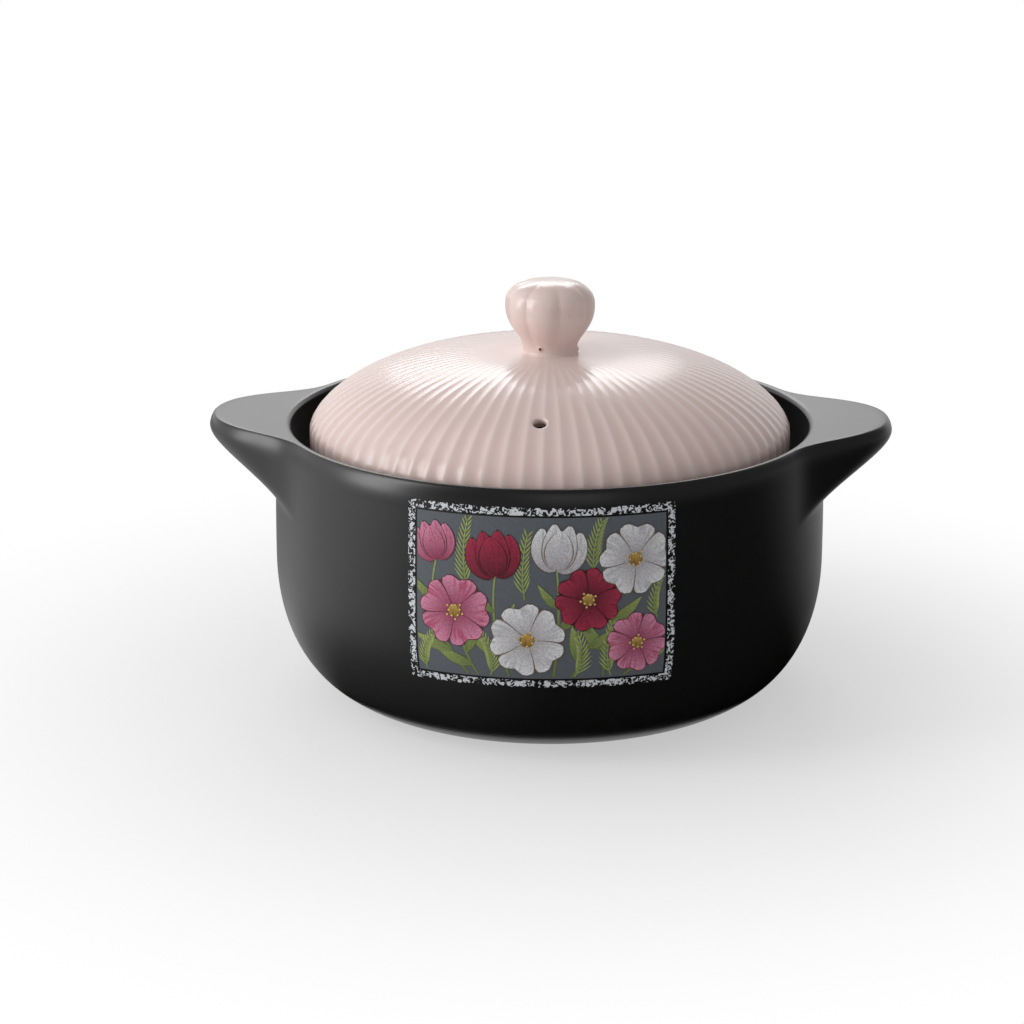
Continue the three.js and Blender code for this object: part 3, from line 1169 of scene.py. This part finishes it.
def bent_line(
    foot: FlatSpot, bend: FlatSpot, tip: FlatSpot, shares: np.ndarray
) -> tuple[np.ndarray, np.ndarray]:
    """Follows a bent line on the flat panel.

    Args:
        foot: Its lower end.
        bend: The guide point that bends it.
        tip: Its upper end.
        shares: Shares of the way, from 0 at the foot to 1 at the tip.

    Returns:
        One row for each place, and one for each unit heading.
    """
    start, guide, end = (np.array(spot, dtype=float) for spot in (foot, bend, tip))
    share = shares[:, None]
    places = start * (1 - share) ** 2 + guide * 2 * share * (1 - share) + end * share ** 2
    headings = (guide - start) * (1 - share) + (end - guide) * share
    return places, headings / np.maximum(np.linalg.norm(headings, axis=1, keepdims=True), TINY)


@dataclass(frozen=True)
class Stroke:
    """One printed petal, leaf, stem or dot, along a bent centre line on the flat panel."""

    foot: FlatSpot
    bend: FlatSpot
    tip: FlatSpot
    half_width: float
    shape: Shape
    ink: Ink
    layer: int

    def width_share(self, along: np.ndarray) -> np.ndarray:
        """Finds how the stroke widens and narrows.

        Args:
            along: Share along the stroke, from 0 to 1.

        Returns:
            The half width at each place, as a share of the largest.
        """
        if self.shape is Shape.PETAL:
            return 0.16 + 0.84 * np.sin(np.pi / 2 * along ** 0.85) ** 1.3 - 0.12 * along ** 6
        if self.shape is Shape.CUP:
            return 0.25 * (1 - along) + np.sin(np.pi * along ** 0.8) ** 0.7
        if self.shape is Shape.LEAF:
            return np.sin(np.pi * (0.03 + 0.97 * along) ** 0.8)
        if self.shape is Shape.STEM:
            return 1 - 0.35 * along
        return np.sqrt(np.clip(1 - (2 * along - 1) ** 2, 0.0025, 1))

    def flat_places(self, across: np.ndarray, along: np.ndarray) -> np.ndarray:
        """Places on the flat panel.

        Args:
            across: Share across the stroke, from -1 to 1.
            along: Share along the stroke, from 0 to 1.

        Returns:
            One row of sideways and upward distance from the panel's centre for each place.
        """
        reach = along
        if self.shape is Shape.PETAL:
            notch = 0.13 * np.exp(-((across / 0.3) ** 2)) + 0.2 * across ** 4
            reach = along * (1 - notch * along ** 3)
        centre, heading = bent_line(self.foot, self.bend, self.tip, reach)
        beside = np.stack([heading[:, 1], -heading[:, 0]], axis=1)
        return centre + beside * (across * self.half_width * self.width_share(along))[:, None]


@dataclass(frozen=True)
class Blossom:
    """An open blossom of notched petals, seen from the front. Its reaches are shares of its radius."""

    centre: Spot
    radius: float
    ink: Ink
    turn_deg: float
    petals: int = 5
    petal_start: float = 0.08
    petal_width: float = 0.56
    heart: float = 0.19
    stamens: int = 11
    stamen_ring: float = 0.16
    stamen_stagger: float = 0.08
    stamen_size: float = 0.42

    def dot(self, place: np.ndarray, size: float, ink: Ink, layer: int) -> Stroke:
        """A round dot of one ink."""
        half = np.array((0, size))
        return Stroke(place - half, place, place + half, size, Shape.DISC, ink, layer)

    def strokes(self) -> list[Stroke]:
        """Draws the blossom.

        Returns:
            The petals, one over the other, the heart and a staggered ring of stamens.
        """
        middle = np.array(self.centre, dtype=float)
        drawn = []
        for index in range(self.petals):
            way = way_up(self.turn_deg + 360 * index / self.petals)
            foot, tip = middle + way * self.radius * self.petal_start, middle + way * self.radius
            half_width = self.radius * self.petal_width
            drawn.append(Stroke(foot, (foot + tip) / 2, tip, half_width, Shape.PETAL, self.ink, index))
        drawn.append(self.dot(middle, self.radius * self.heart, Ink.HEART, self.petals + 1))
        for index in range(self.stamens):
            way = way_up(self.turn_deg + 360 * index / self.stamens)
            reach = self.radius * (self.stamen_ring + self.stamen_stagger * (index % 2))
            drawn.append(self.dot(middle + way * reach, self.stamen_size, Ink.STAMEN, self.petals + 2))
        return drawn


@dataclass(frozen=True)
class CupPetal:
    """One petal of a cup flower. Its bend, length and half width are shares of the flower's height."""

    fan_deg: float
    bend: float
    length: float = 1.0
    half_width: float = 0.24


@dataclass(frozen=True)
class CupFlower:
    """A cup-shaped flower, seen from the side: two outer petals, two inner ones and the front one."""

    foot: Spot
    height: float
    lean_deg: float
    ink: Ink
    petals: tuple[CupPetal, ...] = (
        CupPetal(-24, 5 / 17, 0.95),
        CupPetal(24, -5 / 17, 0.95),
        CupPetal(-9, 1 / 17),
        CupPetal(10, -1 / 17),
        CupPetal(0, 0, 0.86, 0.27),
    )

    def strokes(self) -> list[Stroke]:
        """Draws the flower.

        Returns:
            The petals, each over the one before it.
        """
        base = np.array(self.foot, dtype=float)
        drawn = []
        for layer, petal in enumerate(self.petals):
            way = way_up(self.lean_deg + petal.fan_deg)
            beside = np.array((-way[1], way[0]))
            tip = base + way * self.height * petal.length
            bend = base + way * self.height / 2 + beside * petal.bend * self.height
            half_width = self.height * petal.half_width
            drawn.append(Stroke(self.foot, bend, tip, half_width, Shape.CUP, self.ink, layer))
        return drawn


@dataclass(frozen=True)
class LeafyStem:
    """A stem with broad leaves at both sides in turn.

    A leaf's bend, rise and width are shares of its length.
    """

    foot: Spot
    bend: Spot
    head: Spot
    leaf_length: float = 15.0
    leaf_shares: tuple[float, ...] = (0.2, 0.42, 0.62)
    leaf_turn_deg: float = 44.0
    leaf_shrink: float = 0.12
    leaf_rise: float = 0.12
    leaf_bend: Spot = (0.55, 0.1)
    leaf_width: float = 0.15
    stem_width: float = 0.55

    def strokes(self) -> list[Stroke]:
        """Draws the stem.

        Returns:
            The stem, and its leaves, shorter towards the head.
        """
        drawn = [Stroke(self.foot, self.bend, self.head, self.stem_width, Shape.STEM, Ink.LEAF, 0)]
        starts, headings = bent_line(self.foot, self.bend, self.head, np.array(self.leaf_shares))
        for index, (start, upward) in enumerate(zip(starts, headings)):
            way = turned_way(upward, self.leaf_turn_deg if index % 2 else -self.leaf_turn_deg)
            length = self.leaf_length * (1 - self.leaf_shrink * index)
            tip = start + way * length + upward * length * self.leaf_rise
            bend = start + way * length * self.leaf_bend[0] - upward * length * self.leaf_bend[1]
            drawn.append(Stroke(start, bend, tip, length * self.leaf_width, Shape.LEAF, Ink.LEAF, 1 + index))
        return drawn


@dataclass(frozen=True)
class Sprig:
    """A slim sprig with needle leaves in pairs."""

    foot: Spot
    bend: Spot
    head: Spot
    needle: float = 5.5
    pairs: int = 10
    first_pair: float = 0.1
    pair_span: float = 0.88
    needle_turn_deg: float = 36.0
    needle_shrink: float = 0.5
    needle_rise: float = 0.25
    half_width: float = 0.36
    stalk_width: float = 0.3

    def strokes(self) -> list[Stroke]:
        """Draws the sprig.

        Returns:
            The stalk, and its needles, shorter towards the head.
        """
        drawn = [Stroke(self.foot, self.bend, self.head, self.stalk_width, Shape.STEM, Ink.SPRIG, 0)]
        shares = self.first_pair + self.pair_span * np.arange(self.pairs) / (self.pairs - 1)
        starts, headings = bent_line(self.foot, self.bend, self.head, shares)
        for index, (share, start, upward) in enumerate(zip(shares, starts, headings)):
            length = self.needle * (1 - self.needle_shrink * share)
            for turn_deg in (-self.needle_turn_deg, self.needle_turn_deg):
                along = turned_way(upward, turn_deg) * length
                tip = start + along + upward * length * self.needle_rise
                layer = 1 + index % 2
                drawn.append(
                    Stroke(start, start + along / 2, tip, self.half_width, Shape.LEAF, Ink.SPRIG, layer))
        return drawn


@dataclass
class PrintedPanel:
    """The fired transfer on the front of the wall: ground, flecked border and a generic garden motif."""

    pot: PotSkin
    width: float = 104.6
    top_drop: float = 6.3
    tall: float = 71.3
    border: float = 3.7
    border_gap: float = 0.1
    border_slack: float = 0.01
    fray_width: float = 0.8
    ground_lift: float = 0.12
    border_lift: float = 0.2
    leaf_lift: float = 0.22
    petal_lift: float = 0.36
    layer_lift: float = 0.025
    ink_thickness: float = 0.05
    motif_margin: float = 0.3
    ground_cells: tuple[int, int] = (70, 46)
    broad_cells: tuple[int, int] = (8, 16)
    slim_cells: tuple[int, int] = (4, 8)
    blossoms: list[Blossom] = field(default_factory=lambda: [
        Blossom((-33, -6), 14, Ink.PINK, 10),
        Blossom((-5, -16), 14.5, Ink.WHITE, -14),
        Blossom((18, 0), 12.5, Ink.CRIMSON, 30),
        Blossom((36, 15), 14, Ink.WHITE, 4),
        Blossom((37, -18), 12, Ink.PINK, -24),
    ])
    cups: list[CupFlower] = field(default_factory=lambda: [
        CupFlower((-17, 9), 18, -8, Ink.CRIMSON),
        CupFlower((6, 12), 18, 7, Ink.WHITE),
        CupFlower((-40, 14), 15, -14, Ink.PINK),
    ])
    stems: list[LeafyStem] = field(default_factory=lambda: [
        LeafyStem((-12, -31), (-20, -10), (-17, 10)),
        LeafyStem((5, -31), (8, -8), (6, 13)),
        LeafyStem((-28, -31), (-47, -8), (-40, 15)),
        LeafyStem((-24, -31), (-30, -22), (-33, -6)),
        LeafyStem((12, -31), (22, -18), (18, 0)),
        LeafyStem((24, -31), (24, -4), (36, 15), 17),
        LeafyStem((32, -31), (40, -26), (37, -18)),
    ])
    sprigs: list[Sprig] = field(default_factory=lambda: [
        Sprig((-28, 3), (-31, 16), (-28, 30), 6.5, 12),
        Sprig((-45, -31), (-47, -24), (-42, -16)),
        Sprig((-19, -31), (-17, -24), (-22, -15)),
        Sprig((-6, 0), (-8, 12), (-5, 25), 6.0, 11),
        Sprig((13, -31), (18, -24), (14, -13), 6.0),
        Sprig((27, -31), (24, -22), (27, -10)),
        Sprig((20, 10), (19, 21), (23, 30), 6.5, 10),
        Sprig((45, -9), (42, -2), (46, 6), 5.0, 8),
    ])

    @property
    def half(self) -> np.ndarray:
        """Half width and half height of the whole panel."""
        return np.array((self.width, self.tall)) / 2

    @property
    def ground_half(self) -> np.ndarray:
        """Half width and half height of the ground inside the border."""
        return self.half - self.border - self.border_gap

    @property
    def middle_height(self) -> float:
        """Height of the panel's centre."""
        return self.pot.height - self.top_drop - self.tall / 2

    def grid(self, name: str, cells: tuple[int, int]) -> bpy.types.Object:
        """Adds a flat grid with a UV map.

        Args:
            name: Name of the new piece.
            cells: Number of cells across and up.

        Returns:
            The grid, over the square from -1 to 1.
        """
        deselect_all()
        bpy.ops.mesh.primitive_grid_add(x_subdivisions=cells[0], y_subdivisions=cells[1], size=2)
        piece = bpy.context.object
        piece.name = name
        return piece

    def square_places(self, piece: bpy.types.Object) -> np.ndarray:
        """Sideways and upward place of each vertex of a grid, from -1 to 1."""
        return places_of(piece)[:, :2] * MM

    def wrap(self, piece: bpy.types.Object, flat: np.ndarray, lift: float) -> None:
        """Bends a flat piece round the wall.

        Args:
            piece: The piece whose vertices are moved.
            flat: Sideways and upward distance of each vertex from the panel's centre.
            lift: Distance of the vertices from the wall.
        """
        heights = self.middle_height + flat[:, 1]
        turns = flat[:, 0] / self.pot.body_radius
        radii = self.pot.outer_radius(heights) + lift
        move_vertices(piece, np.stack([radii * np.sin(turns), -radii * np.cos(turns), heights], axis=1))

    def finish_ink(self, piece: bpy.types.Object, material: bpy.types.Material, *nodes: str) -> None:
        """Gives a wrapped sheet of ink its thickness, shading and material, and hands it over.

        Args:
            piece: The wrapped sheet.
            material: The ink's material.
            nodes: The CAD nodes that it stands for, if any.
        """
        apply_modifier(piece, "SOLIDIFY", thickness=self.ink_thickness * MM, offset=-1.0)
        smooth(piece)
        dress(piece, material)
        hand_over(piece, Body.POT, Slot.PRINT, *nodes)

    def build_ground(self, finish: PrintedGround) -> None:
        """Builds the grey ground, which stands for the panel's CAD skin.

        Args:
            finish: The ink of the ground.
        """
        piece = self.grid("print_ground", self.ground_cells)
        self.wrap(piece, self.square_places(piece) * self.ground_half, self.ground_lift)
        self.finish_ink(piece, finish.material(), "front_print")

    def build_border(self, finish: FleckedBorder) -> None:
        """Builds the frame of flecks round the ground.

        Args:
            finish: The ink of the border, which reads how near the outer edge is.
        """
        piece = self.grid("print_border", (round(self.width), round(self.tall)))
        flat = self.square_places(piece) * self.half
        inside = (np.abs(flat) < self.half - self.border - self.border_slack).all(axis=1)
        with editing(piece):
            bpy.ops.mesh.select_all(action="DESELECT")
            bpy.ops.object.mode_set(mode="OBJECT")
            piece.data.vertices.foreach_set("select", inside)
            bpy.ops.object.mode_set(mode="EDIT")
            bpy.ops.mesh.delete(type="VERT")
        flat = self.square_places(piece) * self.half
        edge_distance = (self.half - np.abs(flat)).min(axis=1)
        mark_vertices(piece, finish.fray_mark, 1 - np.clip(edge_distance / self.fray_width, 0, 1))
        self.wrap(piece, flat, self.border_lift)
        self.finish_ink(piece, finish.material())

    def draw(self, template: bpy.types.Object, stroke: Stroke) -> bpy.types.Object:
        """Copies the template grid and draws one stroke with it.

        Args:
            template: The flat grid that every stroke starts from.
            stroke: The stroke to draw.

        Returns:
            The wrapped copy.
        """
        piece = template.copy()
        piece.data = template.data.copy()
        bpy.context.collection.objects.link(piece)
        across, up = self.square_places(piece).T
        limit = self.ground_half - self.motif_margin
        flat = np.clip(stroke.flat_places(across, (up + 1) / 2), -limit, limit)
        start = self.leaf_lift if stroke.ink in (Ink.LEAF, Ink.SPRIG) else self.petal_lift
        self.wrap(piece, flat, start + self.layer_lift * stroke.layer)
        return piece

    def build_motifs(self) -> None:
        """Builds the garden motif, one piece for each ink."""
        motifs = (*self.sprigs, *self.stems, *self.cups, *self.blossoms)
        strokes = [stroke for motif in motifs for stroke in motif.strokes()]
        broad = self.grid("broad_stroke", self.broad_cells)
        slim = self.grid("slim_stroke", self.slim_cells)
        for ink in Ink:
            template = slim if ink in (Ink.SPRIG, Ink.STAMEN) else broad
            drawn = [self.draw(template, stroke) for stroke in strokes if stroke.ink is ink]
            select_only(drawn[0])
            for piece in drawn:
                piece.select_set(True)
            bpy.ops.object.join()
            piece = bpy.context.object
            piece.name = f"print_{ink.name.lower()}"
            self.finish_ink(piece, ink.value.material())
        for template in (broad, slim):
            bpy.data.objects.remove(template)


# Studio

@dataclass(frozen=True)
class PhotoCamera:
    """The camera of the photograph: its angle, its distance and where the rim's centre falls in the frame."""

    target_height: float
    azimuth_deg: float = 1.6
    elevation_deg: float = 14.5
    distance: float = 1100.0
    lens: float = 94.2
    sensor: float = 36.0
    frame_pixels: float = 1024.0
    target_pixel: Spot = (549.2, 416.0)

    def build(self) -> None:
        """Adds the camera and makes it the scene's own."""
        azimuth, elevation = math.radians(self.azimuth_deg), math.radians(self.elevation_deg)
        level = math.cos(elevation)
        back = Vector((math.sin(azimuth) * level, -math.cos(azimuth) * level, math.sin(elevation)))
        target = Vector((0, 0, self.target_height))
        right = Vector((0, 0, 1)).cross(back).normalized()
        up = back.cross(right)
        focal_pixels = self.lens / self.sensor * self.frame_pixels
        aside = (self.target_pixel[0] - self.frame_pixels / 2) / focal_pixels
        above = (self.frame_pixels / 2 - self.target_pixel[1]) / focal_pixels
        view = -back - right * aside - up * above
        camera = bpy.data.cameras.new("photo_camera")
        camera.lens = self.lens
        camera.sensor_width = self.sensor
        eye = bpy.data.objects.new("photo_camera", camera)
        eye.location = (target + back * self.distance) * MM
        eye.rotation_euler = view.to_track_quat("-Z", "Y").to_euler()
        bpy.context.collection.objects.link(eye)
        bpy.context.scene.camera = eye


@dataclass(frozen=True)
class Softbox:
    """A studio softbox that points at the pot. Lengths in metres, power in watts."""

    name: str
    place: tuple[float, float, float]
    wide: float
    tall: float
    power: float

    def build(self, aim: Vector) -> None:
        """Adds the lamp.

        Args:
            aim: The point that it faces.
        """
        lamp = bpy.data.lights.new(self.name, "AREA")
        lamp.shape = "RECTANGLE"
        lamp.size = self.wide
        lamp.size_y = self.tall
        lamp.energy = self.power
        stand = bpy.data.objects.new(self.name, lamp)
        stand.location = self.place
        stand.rotation_euler = (aim - Vector(self.place)).to_track_quat("-Z", "Y").to_euler()
        bpy.context.collection.objects.link(stand)


@dataclass
class Studio:
    """A pale floor before a white sweep, a tall softbox at the left, three weak ones, and dark cloth.

    The cloth's covers are pairs of a turn from the front in degrees, and a share. Lengths in metres.
    """

    floor_size: float = 12.0
    floor_drop: float = 0.0003
    floor_colour: str = "#efefef"
    fade_edges: Spot = (0.1, 0.34)
    fade_least: float = 0.5
    sweep_way: tuple[float, float, float] = (-0.62, 0.785, 0.0)
    sweep_edges: Spot = (-0.15, 0.45)
    ceiling_edges: Spot = (0.75, 0.35)
    ambient: float = 0.43
    dark_room: float = 0.17
    cloth_colour: str = "#0a0a0a"
    cloth_mark: str = "cover"
    cloth_steps: int = 144
    cloth_radii: tuple[float, ...] = (0.09, 0.15, 0.2, 0.25, 0.32, 0.4, 4.0)
    cloth_near: Spot = (0.12, 0.24)
    cloth_near_covers: tuple[Spot, ...] = ((-110, 0), (-65, 1), (110, 1), (160, 0))
    cloth_covers: tuple[Spot, ...] = (
        (-180, 0.6), (-130, 0.6), (-105, 0.15), (-80, 0.1), (0, 1.0), (90, 1.0), (146, 0.4), (180, 0.6))
    lamps: tuple[Softbox, ...] = (
        Softbox("key_softbox", (-1.3, -0.42, 0.62), 0.62, 1.24, 11.4),
        Softbox("high_softbox", (-0.9, 0.3, 1.2), 0.8, 0.8, 1.7),
        Softbox("back_softbox", (-0.12, 1.25, 0.85), 0.8, 0.45, 4.0),
        Softbox("front_softbox", (0.25, -1.4, 0.6), 0.8, 0.8, 0.9),
    )

    def floor_material(self) -> bpy.types.Material:
        """Builds pale painted board that turns white away from the pot, and keeps the pot's shadow near it.

        Returns:
            The material for the floor.
        """
        material, shader = start_material("pale_painted_board", Roughness=0.9, Specular_IOR_Level=0.0)
        shader.inputs["Base Color"].default_value = linear(self.floor_colour)
        material.cycles.emission_sampling = "NONE"
        tree = material.node_tree
        place = add_node(tree, "TexCoord").outputs["Object"]
        reach = add_node(tree, "VectorMath", {"operation": "LENGTH"}, {0: place}).outputs["Value"]
        away = add_node(
            tree, "MapRange",
            {"interpolation_type": "SMOOTHSTEP",
             "From Min": self.fade_edges[0], "From Max": self.fade_edges[1], "To Min": self.fade_least},
            {"Value": reach})
        path = add_node(tree, "LightPath").outputs
        seen = add_node(
            tree, "Math", {"operation": "ADD"}, {0: path["Is Camera Ray"], 1: path["Is Glossy Ray"]})
        shown = add_node(
            tree, "Math", {"operation": "ADD", "use_clamp": True}, {0: seen, 1: path["Is Transmission Ray"]})
        share = add_node(tree, "Math", {"operation": "MULTIPLY"}, {0: shown, 1: away})
        white = add_node(tree, "Emission", {"Strength": 1.0})
        mixed = add_node(tree, "MixShader", {}, {0: share, 1: shader, 2: white})
        connect(tree.nodes["Material Output"], {"Surface": mixed})
        return material

    def build_floor(self) -> None:
        """Adds the floor."""
        deselect_all()
        bpy.ops.mesh.primitive_plane_add(size=self.floor_size)
        floor = bpy.context.object
        floor.name = "floor"
        places = places_of(floor)
        places[:, 2] = -self.floor_drop / MM
        move_vertices(floor, places)
        dress(floor, self.floor_material())

    def cloth_material(self) -> bpy.types.Material:
        """Builds black velvet: dull and nearly black, and clear where the cloth's cover is 0.

        Returns:
            The material for the cloth.
        """
        material, shader = start_material("black_velvet", Roughness=1.0, Specular_IOR_Level=0.0)
        shader.inputs["Base Color"].default_value = linear(self.cloth_colour)
        tree = material.node_tree
        cover = add_node(tree, "Attribute", {"attribute_name": self.cloth_mark}).outputs["Fac"]
        clear = add_node(tree, "BsdfTransparent")
        mixed = add_node(tree, "MixShader", {}, {0: cover, 1: clear, 2: shader})
        connect(tree.nodes["Material Output"], {"Surface": mixed})
        return material

    def build_cloth(self) -> None:
        """Lays a dark cloth round the pot, thin at the left and the back, which shows only mirrored."""
        section = [(radius / MM, 0.0) for radius in self.cloth_radii]
        cloth = turn_section("dark_cloth", section, self.cloth_steps)
        places = places_of(cloth)
        turns = np.degrees(front_turn(places))
        sideways = np.interp(turns, *zip(*self.cloth_covers))
        close = np.interp(radii_of(places) * MM, self.cloth_near, (1, 0))
        close *= np.interp(turns, *zip(*self.cloth_near_covers))
        mark_vertices(cloth, self.cloth_mark, np.maximum(sideways, close))
        dress(cloth, self.cloth_material())
        cloth.visible_camera = False
        cloth.visible_diffuse = False
        cloth.visible_shadow = False

    def build_world(self) -> None:
        """Makes the room: white to the camera; in reflections, white at the back and left, dim elsewhere."""
        world = bpy.data.worlds.new("white_sweep")
        world.use_nodes = True
        world.cycles.sampling_method = "NONE"
        bpy.context.scene.world = world
        tree = world.node_tree
        way = add_node(tree, "TexCoord").outputs["Generated"]
        facing = add_node(tree, "VectorMath", {"operation": "DOT_PRODUCT", 1: self.sweep_way}, {0: way})
        toward = facing.outputs["Value"]
        height = add_node(tree, "SeparateXYZ", {}, {0: way}).outputs["Z"]
        sweep = add_node(
            tree, "MapRange",
            {"interpolation_type": "SMOOTHSTEP",
             "From Min": self.sweep_edges[0], "From Max": self.sweep_edges[1]},
            {"Value": toward})
        under = add_node(
            tree, "MapRange",
            {"interpolation_type": "SMOOTHSTEP",
             "From Min": self.ceiling_edges[0], "From Max": self.ceiling_edges[1]},
            {"Value": height})
        lit = add_node(tree, "Math", {"operation": "MULTIPLY"}, {0: sweep, 1: under})
        mirrored = add_node(tree, "MapRange", {"To Min": self.dark_room}, {"Value": lit})
        path = add_node(tree, "LightPath").outputs
        glossy = add_node(
            tree, "Mix", {"data_type": "FLOAT", 2: self.ambient}, {0: path["Is Glossy Ray"], 3: mirrored})
        clear = add_node(
            tree, "Math", {"operation": "MAXIMUM"},
            {0: path["Is Camera Ray"], 1: path["Is Transmission Ray"]})
        strength = add_node(tree, "Mix", {"data_type": "FLOAT", 3: 1.0}, {0: clear, 2: glossy})
        background = tree.nodes["Background"]
        background.inputs["Color"].default_value = (1, 1, 1, 1)
        connect(background, {"Strength": strength})

    def build(self, aim: Vector) -> None:
        """Builds the floor, the cloth, the room and the lamps.

        Args:
            aim: The point that the lamps face.
        """
        self.build_floor()
        self.build_cloth()
        self.build_world()
        for lamp in self.lamps:
            lamp.build(aim)
        bpy.context.scene.view_settings.view_transform = "Standard"


def main() -> None:
    """Builds every piece in order, then the studio."""
    logging.basicConfig(level=logging.INFO, format="%(name)s: %(message)s")
    pot_top = high_corner("pot_body")
    pot = PotSkin(height=pot_top.z, body_radius=pot_top.x, half_span=high_corner("right_handle").x)
    pot.build(SatinBlackGlaze())

    blush = SatinBlushGlaze()
    blush_material = blush.material()
    lid_low, lid_top = low_corner("lid_dome"), high_corner("lid_dome")
    lid = FlutedLid(seat=lid_low.z, radius=lid_top.x, height=lid_top.z - lid_low.z)
    lid.build(blush, blush_material)
    knob_low, knob_top = low_corner("lid_knob"), high_corner("lid_knob")
    knob = LobedKnob(foot=knob_low.z, height=knob_top.z - knob_low.z)
    knob.build(blush, blush_material)

    panel = PrintedPanel(pot)
    panel.build_ground(PrintedGround())
    panel.build_border(FleckedBorder())
    panel.build_motifs()

    PhotoCamera(target_height=pot.height).build()
    Studio().build(Vector((0, 0, pot.height * MM / 2)))


if __name__ == "__main__":
    main()
